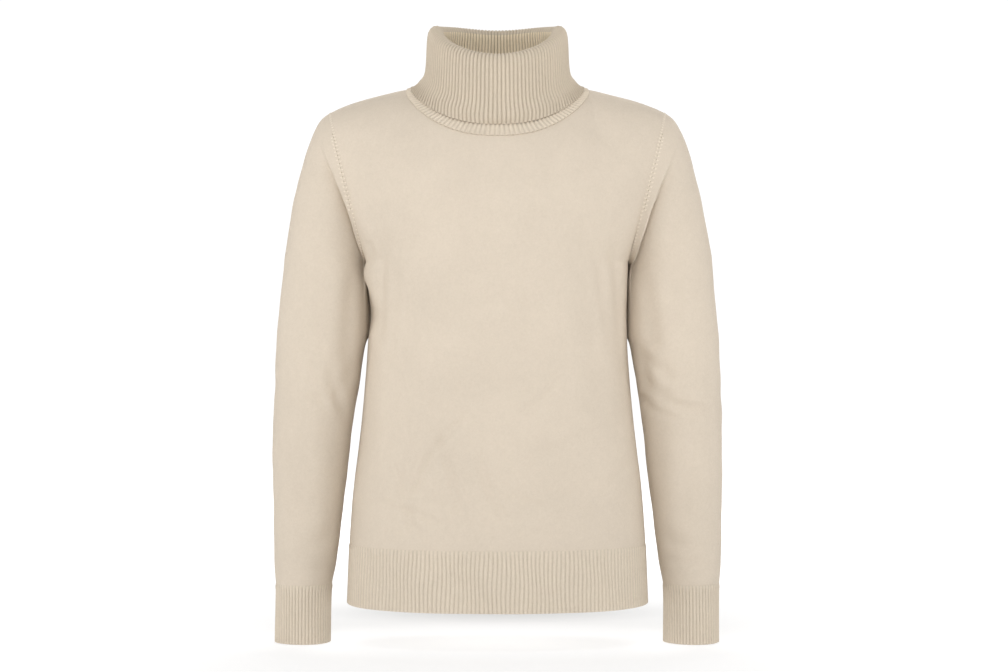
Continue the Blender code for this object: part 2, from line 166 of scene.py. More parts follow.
def torsoLow(face, across, z):  # below the armpits, across runs from -1 to 1 between the side seams
    turn = np.abs(across) * pi / 2
    x = column(torso, "halfWidth", z) * np.sin(turn) ** (2 / yoke["roundness"])
    depth = column(torso, "front" if face < 0 else "back", z)
    y = depth * np.maximum(np.cos(turn), 0) ** (2 / yoke["roundness"])
    return points(np.copysign(x, across), face * y, z)


def riseAt(angle):
    arch = np.where(angle < pi / 2, yoke["frontArch"], yoke["backArch"])
    return np.abs(np.sin(angle)) ** (2 / arch)


def armholeX(rise):
    return blend(yoke["armpitX"], yoke["shoulderX"], rise)


def torsoHigh(x, angle):  # angle 0 is the front's armpit level, 90 degrees the ridge, 180 the back's
    depth = np.where(angle < pi / 2, -torso[-1]["front"], torso[-1]["back"])
    arch = np.where(angle < pi / 2, yoke["frontArch"], yoke["backArch"])
    rise = riseAt(angle)
    left = np.abs(np.cos(angle)) ** (2 / arch)
    atArmhole = yoke["depthAtArmhole"] * np.sqrt(2 * rise / (1 + rise))
    power = yoke["roundness"]
    reach = armholeX(rise) / (1 - atArmhole**power) ** (1 / power)
    section = (1 - np.minimum(np.abs(x) / reach, 1) ** power) ** (1 / power)
    z = blend(yoke["armpitZ"], column(shoulderRidge, "z", np.abs(x), key="x"), rise)
    return points(x, depth * left * section, z)


def armholeAngle(turn):  # turn is 0 under the arm and pi on the ridge
    rise = (1 - np.cos(turn)) / 2
    front = np.arcsin(np.minimum(rise ** (yoke["frontArch"] / 2), 1))
    back = pi - np.arcsin(np.minimum(rise ** (yoke["backArch"] / 2), 1))
    return np.where(turn <= pi, front, back)


seamTurn = acos(1 - 2 * sin(yoke["seamAtSleeve"]) ** (2 / yoke["frontArch"]))


def armholeTurns(face, shares):  # from the underarm to the shoulder seam, along one panel
    start, end = (0, seamTurn) if face < 0 else (2 * pi, seamTurn)
    return blend(start, end, shares)


def neckline(turn, inset=0.0):  # turn is 0 at the front's middle and pi at the back's
    share = ((1 - np.cos(turn)) / 2) ** neck["bend"]
    drawnIn = inset * neck["insetToAngle"]
    angle = blend(neck["frontAngle"] + drawnIn, neck["backAngle"] - drawnIn, share)
    return (neck["halfWidth"] - inset) * np.sin(turn), angle


def neckLoop(turn, inset=0.0, lift=0.0):  # a loop that lies on the torso round the neck
    side = np.where(turn <= pi, 1, -1)
    x, angle = neckline(np.where(turn <= pi, turn, 2 * pi - turn), inset)
    step = 0.001
    place = torsoHigh(x, angle)
    outward = np.cross(torsoHigh(x + step, angle) - place, torsoHigh(x, angle + step) - place)
    place = place + outward / np.linalg.norm(outward, axis=-1, keepdims=True) * np.expand_dims(lift, -1)
    place[..., 0] *= side
    return place


# folds: each is a line seen from one side, with a trough along it and a ridge on each side of it;
# depth, width and bow are in millimetres

facings = {"front": (0, -1), "back": (0, 1), "left": (1, 0), "right": (-1, 0)}
foldForm = {
    "ends": 0.32,  # full depth this far to each side of the middle, as a share of the length
    "fade": 0.25,
    "ridgeAt": 1.9,  # in trough widths
    "ridgeWidth": 1.1,
    "ridgeHeight": 0.5,  # of the trough's depth
    "turnedAway": 0.5,  # a fold fades as the cloth turns away from the side that it is seen from
}


def folds(seen, rows):  # ends in millimetres on the view named by seen: x and z, or y and z from a side
    return [{"seen": seen, **row} for row in rowsOf("start end depth width bow skew", rows)]


def foldShift(creases, sheet, normals):  # in metres, positive is out of the garment
    shift = np.zeros(sheet.shape[:2])
    for fold in creases:
        facing = facings[fold["seen"]]
        away = sheet[..., 0] if facing[0] == 0 else sheet[..., 1]
        startX, startZ = (value / 1000 for value in fold["start"])
        alongX, alongZ = (b / 1000 - a for a, b in zip((startX, startZ), fold["end"]))
        length = (alongX**2 + alongZ**2) ** 0.5
        dx, dz = away - startX, sheet[..., 2] - startZ
        along = (dx * alongX + dz * alongZ) / length**2
        bow = fold["bow"] / 1000 * (1 - (2 * np.clip(along, 0, 1) - 1) ** 2)
        across = (dx * alongZ - dz * alongX) / length - bow
        over = np.maximum(np.abs(along - 0.5) - foldForm["ends"], 0) * length
        width = fold["width"] / 1000
        skew = fold["skew"]  # above 0 the trough is steeper on its positive side
        trough = bell(across, np.where(across > 0, width * (1 - skew), width * (1 + skew)))
        ridgeAt, ridgeWidth = foldForm["ridgeAt"] * width, foldForm["ridgeWidth"] * width
        ridges = bell(across - ridgeAt, ridgeWidth) + bell(across + ridgeAt, ridgeWidth)
        towards = normals[..., 0] * facing[0] + normals[..., 1] * facing[1]
        fade = bell(over, max(foldForm["fade"] * length, width))
        shown = smoothStep(0, foldForm["turnedAway"], towards) * fade
        shift += fold["depth"] / 1000 * shown * (foldForm["ridgeHeight"] * ridges - trough)
    return shift


swellWaves = rowsOf("height x xz xSeed y yz ySeed", [  # radians to a metre along each axis
    (1.0, 31, 17, 1.0, -19, 23, 2.1),
    (0.6, 57, -41, 1.3, 47, 29, 0.7),
    (0.35, 113, 71, 2.9, 97, 89, 0.0),
])


def unevenness(sheet, size, seed):  # the slow swell of cloth that is nowhere quite flat
    x, y, z = np.moveaxis(sheet, -1, 0)
    swell = np.zeros_like(x)
    for wave in swellWaves:
        across = np.sin(wave["x"] * x + wave["xz"] * z + wave["xSeed"] * seed)
        swell += wave["height"] * across * np.sin(wave["y"] * y + wave["yz"] * z + wave["ySeed"] * seed)
    return size * swell


# the sharp fold beside each armhole: its place seen from the front, how far the cloth hangs forwards
# over it, how far the arm steps behind it and how far the arm tucks in under it
belowArmpit = [
    (-0.216, 0.1575, 0.008, 0.004, 0.0),
    (-0.242, 0.157, 0.0045, 0.0, 0.0),
    (-0.272, 0.157, 0.0015, 0.0, 0.0),
    (-0.31, 0.157, 0.0, 0.0, 0.0),
]
armholeCreases = {
    "right": rowsOf("z x drape step tuck", [
        (-0.05, 0.212, 0.0, 0.0, 0.0),
        (-0.081, 0.2032, 0.0, 0.004, 0.0006),
        (-0.105, 0.1931, 0.002, 0.008, 0.0032),
        (-0.135, 0.1808, 0.005, 0.011, 0.0046),
        (-0.158, 0.1727, 0.008, 0.0116, 0.005),
        (-0.181, 0.1661, 0.009, 0.01, 0.004),
        (-0.202, 0.1594, 0.009, 0.008, 0.0024),
        *belowArmpit,
    ]),
    "left": rowsOf("z x drape step tuck", [
        (-0.05, 0.215, 0.0, 0.0, 0.0),
        (-0.087, 0.205, 0.0, 0.0026, 0.0),
        (-0.11, 0.1952, 0.001, 0.0056, 0.0014),
        (-0.135, 0.185, 0.003, 0.0082, 0.0028),
        (-0.158, 0.1768, 0.006, 0.0096, 0.0038),
        (-0.181, 0.17, 0.009, 0.01, 0.0044),
        (-0.2, 0.1645, 0.009, 0.0086, 0.0034),
        *belowArmpit,
    ]),
}
armholeFold = {
    "toBack": (-0.004, 0.012),  # from where to where the folds of the back and of the front set in
    "toFront": (0.004, -0.012),
    "backShare": 0.55,  # the folds at the back are softer
    "hangFrom": (-0.036, -0.004),  # measured across the crease, out along the arm
    "hangTo": (0.003, -0.0005),
    "stepFrom": (0.0, 0.0028),
    "stepFades": 0.019,
    "tuckFrom": (0.0, 0.003),
    "tuckFades": 0.007,
    "pocketZ": -0.268,  # the body's right side falls in here, below the armpit
    "pocketHeight": 0.019,
    "pocketDepth": 0.0054,
    "pocketInFront": (0.012, -0.02),
    "pocketFrom": (-0.136, -0.152),
    "lipZ": -0.222,  # and above that it bulges out over the arm
    "lipHeight": 0.016,
    "lipY": -0.030,
    "lipWidth": 0.014,
    "lipDepth": 0.0062,
    "lipFrom": (-0.120, -0.145),
    "waveDepth": 0.0066,  # where an arm lies on the body, both follow one wave, so that no gap shows
    "waveY": 0.016,
    "waveWidth": 0.011,
    "waveFromBody": (0.125, 0.148),
    "waveToArm": (0.186, 0.166),
    "waveFromBelow": (-0.306, -0.284),
    "waveToArmpit": (-0.186, -0.204),
}


def atFold(name, value):
    return smoothStep(*armholeFold[name], value)


def atCrease(name, x, z):
    left, right = (column(armholeCreases[side], name, z) for side in ("left", "right"))
    return np.where(x > 0, left, right)


def foldedAtArmhole(sheet, isSleeve):  # both pieces move by place alone, so their seam stays shut
    x, y, z = sheet[..., 0], sheet[..., 1], sheet[..., 2]
    beyond = np.abs(x) - atCrease("x", x, z)
    towards = armholeFold["backShare"] * atFold("toBack", y) - atFold("toFront", y)
    movedY = atCrease("drape", x, z) * atFold("hangFrom", beyond) * atFold("hangTo", beyond) * towards
    if isSleeve:
        out = np.maximum(beyond, 0)
        behind = atFold("stepFrom", beyond) * np.exp(-out / armholeFold["stepFades"])
        under = atFold("tuckFrom", beyond) * np.exp(-out / armholeFold["tuckFades"])
        movedY = movedY - atCrease("step", x, z) * behind * towards
        movedX = np.sign(x) * atCrease("tuck", x, z) * under * np.abs(towards)
    else:
        pocket = bell(z - armholeFold["pocketZ"], armholeFold["pocketHeight"]) * atFold("pocketInFront", y)
        lip = bell(z - armholeFold["lipZ"], armholeFold["lipHeight"])
        lip = lip * bell(y - armholeFold["lipY"], armholeFold["lipWidth"])
        movedX = armholeFold["lipDepth"] * lip * atFold("lipFrom", x)
        movedX = movedX - armholeFold["pocketDepth"] * pocket * atFold("pocketFrom", x)
    near = atFold("waveFromBody", np.abs(x)) * atFold("waveToArm", np.abs(x))
    level = atFold("waveFromBelow", z) * atFold("waveToArmpit", z)
    wave = armholeFold["waveDepth"] * bell(y - armholeFold["waveY"], armholeFold["waveWidth"])
    return points(x - movedX - np.sign(x) * wave * near * level, y + movedY, z)


# cloth: a grid primitive laid on the form, then given its thickness

laying = {"weld": 0.00002, "smoothBelow": radians(60), "borderDepth": 0.0003, "borderWidth": 0.0030}

cuts = {  # what each piece stands for, and the flat size and area of its cloth in metres
    row["piece"]: row
    for row in rowsOf("piece node slot flat area held", [
        ("frontPanel", "front_panel", "plain_knit", (0.47, 0.56), 0.22, "hung"),
        ("backPanel", "back_panel", "plain_knit", (0.46, 0.62), 0.24, "hung"),
        ("hemRibFront", "hem_rib_front", "rib_knit", (0.47, 0.072), None, "hung"),
        ("hemRibBack", "hem_rib_back", "rib_knit", (0.46, 0.072), None, "hung"),
        ("leftSleeve", "sleeve_left", "plain_knit", (0.33, 0.57), 0.15, "hung"),
        ("rightSleeve", "sleeve_right", "plain_knit", (0.33, 0.57), 0.15, "hung"),
        ("leftCuff", "cuff_left", "rib_knit", (0.205, 0.07), None, "hung"),
        ("rightCuff", "cuff_right", "rib_knit", (0.205, 0.07), None, "hung"),
        ("rollCollar", "collar", "rib_knit", (0.52, 0.19), None, "folded"),
    ])
}


def layCloth(name, sheet, thickness, closed, materials, wales=None, ribWidth=0.0):
    rows, columns = sheet.shape[0] - 1, sheet.shape[1] - 1
    bpy.ops.mesh.primitive_grid_add(x_subdivisions=columns, y_subdivisions=rows, size=1, calc_uvs=True)
    piece = bpy.context.object
    piece.name = piece.data.name = name
    mesh = piece.data
    for material in materials:
        mesh.materials.append(material)
    flat = np.zeros(len(mesh.vertices) * 3)
    mesh.vertices.foreach_get("co", flat)
    flat = flat.reshape(-1, 3)
    c = np.rint((flat[:, 0] + 0.5) * columns).astype(int)
    r = np.rint((flat[:, 1] + 0.5) * rows).astype(int)
    mesh.vertices.foreach_set("co", sheet[r, c].ravel())

    # the map holds metres on the cloth, from its middle line and from its lower edge
    across = np.zeros(sheet.shape[:2])
    across[:, 1:] = np.cumsum(np.linalg.norm(np.diff(sheet, axis=1), axis=-1), axis=1)
    across -= across[:, columns // 2][:, None]
    if wales is not None:
        across[:] = wales
    upward = np.zeros(sheet.shape[:2])
    upward[1:] = np.cumsum(np.linalg.norm(np.diff(sheet, axis=0), axis=-1), axis=0)
    corners = np.zeros(len(mesh.loops), int)
    mesh.loops.foreach_get("vertex_index", corners)
    onCloth = np.stack([across[r, c], upward[r, c]], axis=-1)[corners]
    mesh.uv_layers[0].data.foreach_set("uv", onCloth.ravel())
    mesh.update()

    bpy.ops.object.mode_set(mode="EDIT")
    bpy.ops.mesh.select_all(action="SELECT")
    if closed:
        bpy.ops.mesh.remove_doubles(threshold=laying["weld"])
    bpy.ops.object.mode_set(mode="OBJECT")
    wall = piece.modifiers.new("wall", "SOLIDIFY")
    wall.thickness = thickness
    wall.offset = -1
    wall.use_even_offset = False
    outerCorners = len(corners)
    bpy.ops.object.modifier_apply(modifier=wall.name)
    # a groove outside is a ridge inside, so the map's ribs shift by half on the inner face
    onCloth = np.zeros(len(mesh.loops) * 2)
    mesh.uv_layers[0].data.foreach_get("uv", onCloth)
    onCloth = onCloth.reshape(-1, 2)
    onCloth[outerCorners : 2 * outerCorners, 0] += ribWidth / 2
    mesh.uv_layers[0].data.foreach_set("uv", onCloth.ravel())
    bpy.ops.object.shade_smooth_by_angle(angle=laying["smoothBelow"])
    piece.select_set(False)
    return piece


def declare(piece):  # the piece stands for its solid, which is hidden, and its size is printed
    cut = cuts[piece.name]
    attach(piece, "root")
    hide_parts(cut["node"])
    triangles = sum(len(face.vertices) - 2 for face in piece.data.polygons)
    area = sum(face.area for face in piece.data.polygons) / 2
    print(f"{piece.name}: {triangles} triangles, cloth {area:.4f} m2")


def sunkBorder(sheet, closed, edges):  # a seam draws a sheet's first or last rows inwards
    gaps = np.linalg.norm(np.diff(sheet, axis=0), axis=-1)
    fromStart = np.concatenate([np.zeros((1, sheet.shape[1])), np.cumsum(gaps, axis=0)])
    distances = {"start": fromStart, "end": fromStart[-1] - fromStart}
    sink = np.max([bell(distances[edge], laying["borderWidth"]) for edge in edges], axis=0)
    return sheet - normalsOf(sheet, closed) * (sink * laying["borderDepth"])[..., None]


# materials


def linear(hexColour):
    channels = [int(hexColour[i : i + 2], 16) / 255 for i in (0, 2, 4)]
    return (*[c / 12.92 if c <= 0.04045 else ((c + 0.055) / 1.055) ** 2.4 for c in channels], 1)


def addNode(tree, kind, inputs, **settings):  # an input is given a number, a colour or another node's output
    made = tree.nodes.new("ShaderNode" + kind)
    for name, value in settings.items():
        setattr(made, name, value)
    for name, value in inputs.items():
        if isinstance(value, bpy.types.NodeSocket):
            tree.links.new(value, made.inputs[name])
        else:
            made.inputs[name].default_value = value
    return made.outputs


def newMaterial(name):
    material = bpy.data.materials.new(name)
    material.use_nodes = True
    return material, material.node_tree, material.node_tree.nodes["Principled BSDF"]


plainKnit = {
    "stitch": "D4C8B8",  # undyed beige, on the crown of the yarn
    "paintedGapShade": "C4B6A3",  # painted shade, deep between the stitches
    "waleMm": 1.5,  # one column of stitches
    "courseMm": 1.15,  # one row of stitches
    "depthMm": 0.16,
    "sheen": 0.20,
}
ribKnit = {
    "stitch": "DACEBD",
    "paintedGapShade": "C4B6A1",
    "waleMm": 1.2,  # two columns of stitches on a rib and two in a groove
    "courseMm": 1.2,
    "depthMm": 0.14,
    "ribMm": 4.8,  # from rib to rib on the cloth's map
    "groovePaintedShade": 0.83,
    "sheen": 0.15,
}
# a darker copy of the rib knit for the roll: painted shade
collarKnitPaintedShade = {**ribKnit, "stitch": "D0C3B1", "paintedGapShade": "BBAD97"}
# a lighter, warmer copy of the rib knit for the inside of the roll: painted bounce light, with painted shade
# deeper in its grooves
insideKnitPaintedLight = {**ribKnit, "stitch": "F1E3CA", "paintedGapShade": "D2BF9F", "groovePaintedShade": 0.58, "sheen": 0.10}
cotton = {
    "legLean": 0.85,  # how many courses a leg of a stitch climbs towards the edge of its wale
    "legPower": 0.6,
    "walePower": 0.5,
    "crown": 0.62,
    "bump": 0.8,
    "yarn": {"Scale": 420, "Detail": 2, "Roughness": 0.6},
    "fuzz": {"Distance": 0.0002, "Strength": 0.35},
    "surface": {"Roughness": 0.88, "Specular IOR Level": 0.25, "Sheen Roughness": 0.55},
    "sheenTint": "FFF4E4",
}
unevenTones = (  # slow patches of tone and small flecks, each with its noise and its darkest and lightest
    ({"Scale": 11, "Detail": 4, "Roughness": 0.6}, 0.97, 1.03),
    ({"Scale": 150, "Detail": 3, "Roughness": 0.65}, 0.984, 1.016),
)


def knittedCotton(name, look):
    # Fine knit of a combed cotton yarn: matt, faintly woolly where it is seen at a slant,
    # with columns of small V stitches and a yarn of slightly uneven tone.
    material, tree, surface = newMaterial(name)
    cloth = addNode(tree, "UVMap", {}, uv_map="UVMap")["UV"]
    place = addNode(tree, "SeparateXYZ", {0: cloth})
    across = addNode(tree, "Math", {0: place["X"], 1: look["waleMm"] / 1000}, operation="DIVIDE")[0]
    along = addNode(tree, "Math", {0: place["Y"], 1: look["courseMm"] / 1000}, operation="DIVIDE")[0]

    # 0 in the middle of a wale and 1 between two wales
    aside = across
    for operation, value in (("FRACT", 0), ("SUBTRACT", 0.5), ("ABSOLUTE", 0), ("MULTIPLY", 2)):
        aside = addNode(tree, "Math", {0: aside, 1: value}, operation=operation)[0]

    # two legs lean together into a V, each a bulge of yarn
    lean = addNode(tree, "Math", {0: aside, 1: cotton["legLean"]}, operation="MULTIPLY")[0]
    leg = addNode(tree, "Math", {0: along, 1: lean}, operation="SUBTRACT")[0]
    for operation, value in (("MULTIPLY", pi), ("SINE", 0), ("ABSOLUTE", 0), ("POWER", cotton["legPower"])):
        leg = addNode(tree, "Math", {0: leg, 1: value}, operation=operation)[0]
    bulge = aside
    for operation, value in (("MULTIPLY", pi), ("SINE", 0), ("MAXIMUM", 0), ("POWER", cotton["walePower"])):
        bulge = addNode(tree, "Math", {0: bulge, 1: value}, operation=operation)[0]
    height = addNode(tree, "Math", {0: leg, 1: bulge}, operation="MULTIPLY")[0]

    # the yarn's own unevenness, and painted shade deep between the stitches
    spot = addNode(tree, "TexCoord", {})["Object"]
    yarn = addNode(tree, "TexNoise", {"Vector": spot, **cotton["yarn"]})["Fac"]
    crown = addNode(tree, "Math", {0: height, 1: yarn}, operation="ADD")[0]
    lifted = {0: crown, 1: cotton["crown"]}
    crown = addNode(tree, "Math", lifted, operation="MULTIPLY", use_clamp=True)[0]
    colours = {0: crown, 6: linear(look["paintedGapShade"]), 7: linear(look["stitch"])}
    toned = addNode(tree, "Mix", colours, data_type="RGBA")[2]
    tones = []
    for noise, darkest, lightest in unevenTones:
        patches = addNode(tree, "TexNoise", {"Vector": spot, **noise})["Fac"]
        spread = {"Value": patches, "From Min": 0.3, "From Max": 0.7, "To Min": darkest, "To Max": lightest}
        tones.append(addNode(tree, "MapRange", spread)[0])
    if "ribMm" in look:  # painted shade: the backs of the stitches, down in a groove, are darkened as if they take less light
        ridge = place["X"]
        for operation, value in (("DIVIDE", look["ribMm"] / 1000 / pi), ("SINE", 0), ("ABSOLUTE", 0)):
            ridge = addNode(tree, "Math", {0: ridge, 1: value}, operation=operation)[0]
        spread = {"Value": ridge, "To Min": look["groovePaintedShade"], "To Max": 1.0}
        tones.append(addNode(tree, "MapRange", spread)[0])
    for tone in tones:
        toned = addNode(tree, "HueSaturation", {"Value": tone, "Color": toned})[0]
    tree.links.new(toned, surface.inputs["Base Color"])

    stitches = {"Height": height, "Distance": look["depthMm"] / 1000, "Strength": cotton["bump"]}
    normal = addNode(tree, "Bump", stitches)[0]
    normal = addNode(tree, "Bump", {"Height": yarn, "Normal": normal, **cotton["fuzz"]})[0]
    tree.links.new(normal, surface.inputs["Normal"])
    for name, value in cotton["surface"].items():
        surface.inputs[name].default_value = value
    surface.inputs["Sheen Weight"].default_value = look["sheen"]
    surface.inputs["Sheen Tint"].default_value = linear(cotton["sheenTint"])
    return material


plainCotton = knittedCotton("plainKnitCotton", plainKnit)
ribCotton = knittedCotton("ribKnitCotton", ribKnit)
collarCottonPaintedShade = knittedCotton("ribKnitCottonCollarPaintedShade", collarKnitPaintedShade)
insideCottonPaintedLight = knittedCotton("ribKnitCottonInsidePaintedLight", insideKnitPaintedLight)

yarns = {
    "twistedCottonYarnPaintedHighlight": {"light": "E9DFD0", "dark": "D6C9B6", "roughness": 0.8},  # the same cotton made lighter: painted highlight on the raised linking stitches
    "knitEyeletPaintedShade": {"light": "B8AB96", "dark": "A3947C", "roughness": 0.9},  # painted shade: a dark patch for the dim inside, through a hole
}
plyMm = 0.9


def cottonYarn(name, look):  # a yarn of two tones, as its plies turn
    material, tree, surface = newMaterial(name)
    spot = addNode(tree, "TexCoord", {})["Object"]
    plies = addNode(tree, "TexNoise", {"Vector": spot, "Scale": 1000 / plyMm, "Detail": 2})["Fac"]
    colours = {0: plies, 6: linear(look["dark"]), 7: linear(look["light"])}
    tree.links.new(addNode(tree, "Mix", colours, data_type="RGBA")[2], surface.inputs["Base Color"])
    surface.inputs["Roughness"].default_value = look["roughness"]
    return material


linkingYarnPaintedHighlight, eyeletShade = [cottonYarn(name, look) for name, look in yarns.items()]
print("materials ready")


# front and back panels

panelCloth = {
    "thickness": 0.0013,
    "neckColumns": 96,
    "shoulderColumns": 32,
    "lowRows": 112,
    "highRows": 96,
    "swell": 0.0007,
    "rowCrowding": 1.15,  # above 1, the rows crowd towards the armpit
    "easePasses": 60,
    "easeHeight": 0.022,
    "easeShare": 0.4,
    "easeFromSeam": 0.02,
    "calmAtHem": 0.035,  # how far the folds fade out towards the borders
    "calmAtSide": 0.03,
    "calmFades": (-0.2, 0.3),  # above this level the side seams are farther off, by this share
    "calmAtTop": 0.10,
}
frontFolds = folds("front", [
    ((-151, -184), (-146, -202), 2.2, 5),  # beside the right armpit
    ((-134, -206), (-138, -296), 3.6, 6, 0, 0.2),  # side fold, right
    ((-120, -216), (-127, -322), 2.4, 6.5),  # second fold, right
    ((-108, -250), (-118, -390), 1.3, 10),  # third fold, right
    ((139, -204), (143, -302), 3.0, 7, 0, -0.2),  # side fold, left
    ((121, -218), (131, -300), 2.4, 6.5),  # second fold, left
    ((108, -250), (122, -384), 1.3, 10),  # third fold, left
    ((-142, -196), (-84, -168), 1.5, 13, 4),  # pull from the right armpit
    ((140, -200), (88, -180), 1.3, 12, -4),  # pull from the left armpit
    ((-6, -66), (-12, -150), 0.7, 12),  # under the neckline, middle
    ((-52, -56), (-76, -128), 0.9, 11),  # under the neckline, right
    ((50, -58), (72, -126), 0.8, 11),  # under the neckline, left
    ((-112, -38), (-150, -80), 1.2, 14),  # shoulder hollow, right
    ((112, -38), (148, -84), 1.1, 14),  # shoulder hollow, left
    ((-118, -468), (-30, -508), 1.0, 10, -5),  # low drag, right
    ((-66, -436), (34, -486), 0.8, 12, 6),  # low drag, middle
    ((40, -494), (128, -462), 1.0, 10, -4),  # low drag, left
    ((-152, -400), (-88, -420), 1.2, 12, 4),  # waist, right
    ((150, -388), (96, -412), 1.1, 12, -4),  # waist, left
    # small sharp creases that storage left low in front
    ((-64, -412), (-99, -482), 1.8, 4.5, 3),
    ((-71, -405), (-43, -496), 1.6, 4.5, -3),
    ((-36, -384), (-64, -412), 1.4, 4.0),
    ((-123, -440), (-99, -524), 1.7, 5.0, -4),
    ((27, -384), (75, -342), 0.9, 4.5, 3),
    ((40, -440), (117, -405), 0.9, 5.0, -4),
    ((6, -475), (89, -496), 1.0, 4.5, 4),
    ((117, -482), (152, -448), 1.0, 4.5),
    ((-130, -490), (-66, -512), 1.5, 4.5, -3),
    ((-20, -440), (12, -508), 1.6, 4.5, 4),
])
backFolds = folds("back", [
    ((-146, -210), (-138, -326), 3.4, 9, 0, 0.3),  # side fold, right
    ((147, -212), (137, -336), 3.6, 9, 0, -0.3),  # side fold, left
    ((-118, -222), (-122, -356), 2.0, 12),  # second fold, right
    ((120, -230), (118, -344), 1.8, 12),  # second fold, left
    ((-134, -168), (-70, -128), 1.6, 13, 5),  # shoulder blade, right
    ((136, -172), (72, -134), 1.5, 13, -5),  # shoulder blade, left
    ((-96, -352), (84, -366), 2.0, 12, 8),  # small of the back, upper
    ((-76, -396), (104, -386), 1.8, 12, 9),  # small of the back, lower
    ((-128, -452), (-46, -492), 1.2, 11, -5),  # low drag, right
    ((36, -486), (126, -446), 1.2, 11, -5),  # low drag, left
    ((-44, -46), (46, -48), 0.8, 11, 5),  # below the collar
])


def topEdge(face, shares):  # where a panel's columns end, from -1 to 1 across the panel
    corner = panelCloth["neckColumns"] / (panelCloth["neckColumns"] + 2 * panelCloth["shoulderColumns"])
    aside = np.abs(shares)
    turn = np.minimum(aside / corner, 1) * pi / 2
    neckX, neckAngle = neckline(turn if face < 0 else pi - turn)
    along = np.clip((aside - corner) / (1 - corner), 0, 1)
    onNeck = aside <= corner
    x = np.where(onNeck, neckX, blend(neck["halfWidth"], yoke["shoulderX"], along))
    angle = np.where(onNeck, neckAngle, blend(yoke["seamAtNeck"], yoke["seamAtSleeve"], along))
    return np.copysign(x, shares), angle


def panelHigh(face, shares, places, turn):  # a row above the armpits, level with the armhole at a turn
    start = 0 if face < 0 else pi
    climb = (armholeAngle(turn) - start) / (yoke["seamAtSleeve"] - start)
    topX, topAngle = topEdge(face, shares)
    angle = blend(start, topAngle, climb)
    lowShare = np.sin(np.abs(places) * pi / 2) ** (2 / yoke["roundness"])
    highShare = np.minimum(np.abs(topX) / armholeX(riseAt(topAngle)), 1)
    x = blend(lowShare, highShare, climb) * armholeX(riseAt(angle))
    return torsoHigh(np.copysign(x, shares), angle)


def panelSheet(face):
    columns = panelCloth["neckColumns"] + 2 * panelCloth["shoulderColumns"]
    shares = -face * np.linspace(-1, 1, columns + 1)
    places = 2 * evenly(lambda f: torsoLow(face, 2 * f - 1, yoke["armpitZ"]), columns) - 1
    places = -face * places
    low = np.linspace(levels["hemTop"], yoke["armpitZ"], panelCloth["lowRows"], endpoint=False)
    rows = [torsoLow(face, places, z) for z in low]
    turns = armholeTurns(face, np.linspace(0, 1, panelCloth["highRows"] + 1) ** panelCloth["rowCrowding"])
    rows += [panelHigh(face, shares, places, turn) for turn in turns]
    sheet = np.array(rows)
    # ease the change of section at the armpits, but not at the side seams
    for _ in range(panelCloth["easePasses"]):
        inner = sheet[1:-1]
        fromSeam = smoothStep(0, panelCloth["easeFromSeam"], yoke["armpitX"] - np.abs(inner[:, :, 0]))
        near = bell(inner[:, :, 2] - yoke["armpitZ"], panelCloth["easeHeight"]) * fromSeam
        inner += panelCloth["easeShare"] * near[..., None] * (sheet[2:] + sheet[:-2] - 2 * inner) / 2
    return sheet


def makePanel(name, face, creases):
    sheet = foldedAtArmhole(panelSheet(face), False)
    normals = normalsOf(sheet, False)
    fadeZ, fadeShare = panelCloth["calmFades"]
    fromSide = np.abs(sheet[..., 1]) + np.maximum(sheet[..., 2] - fadeZ, 0) * fadeShare
    fromTop = np.linspace(1, 0, sheet.shape[0])[:, None]
    shift = foldShift(creases, sheet, normals) + unevenness(sheet, panelCloth["swell"], 1.7 + face)
    calm = smoothStep(0, panelCloth["calmAtHem"], sheet[..., 2] - levels["hemTop"])
    calm = calm * smoothStep(0, panelCloth["calmAtSide"], fromSide)
    calm = calm * smoothStep(0, panelCloth["calmAtTop"], fromTop)
    sheet = sunkBorder(sheet + normals * (shift * calm)[..., None], False, ("start", "end"))
    piece = layCloth(name, sheet, panelCloth["thickness"], False, [plainCotton])
    declare(piece)
    return piece


frontPanel = makePanel("frontPanel", -1, frontFolds)
backPanel = makePanel("backPanel", 1, backFolds)
print("panels made")


# hem rib

ribs = {
    "reliefHem": 0.00095,
    "reliefCuff": 0.00115,
    "reliefCollar": 0.00078,  # to each side of the cloth's middle, since both faces show
    "grooveForm": 0.75,  # below 1 the ridges are broad and the grooves narrow
    "tipMiddle": 1.0,  # shares of a rib's height
    "tipStray": 0.045,
    "tipWaves": (2.4, 0.77),
    "tipLength": 0.10,
    "plainShare": 0.72,  # the edge's own level, as a share of the ridges' height
    "sunk": 0.75,
    "crowding": 1.6,  # of the rows towards the upper edge
    "bead": 0.0004,  # the ribs puff out just below the plain cloth
    "beadLevel": 0.945,
    "beadWidth": 0.035,
    "onMap": 0.0048,  # metres from rib to rib on the cloth's map
    "pointsARib": 8,
    "wanderMm": 1.3,  # how far the ribs stray from straight
}


def ribProfile(phase):  # a round ridge and a narrow groove for each turn of the phase
    return np.abs(np.sin(phase / 2)) ** ribs["grooveForm"]


def ribLevels(rows):  # from the lower edge to the upper, closer together towards the upper
    return 1 - (1 - np.linspace(0, 1, rows + 1)[:, None]) ** ribs["crowding"]


def ribRelief(phase, level, size, seed):  # ribs below a plain edge, which reach up to it unevenly
    rib = np.floor(phase / (2 * pi))
    fast, slow = ribs["tipWaves"]
    tip = ribs["tipMiddle"] + ribs["tipStray"] * np.sin(fast * rib + seed) * np.sin(slow * rib + 1.9 * seed)
    deep = 1 - smoothStep(tip - ribs["tipLength"], tip, level)
    ridge = ribProfile(phase)
    bead = ribs["bead"] * bell(level - ribs["beadLevel"], ribs["beadWidth"]) * (1 + ridge) / 2
    return size * (ridge * deep + (1 - deep) * ribs["plainShare"] - ribs["sunk"]) + bead


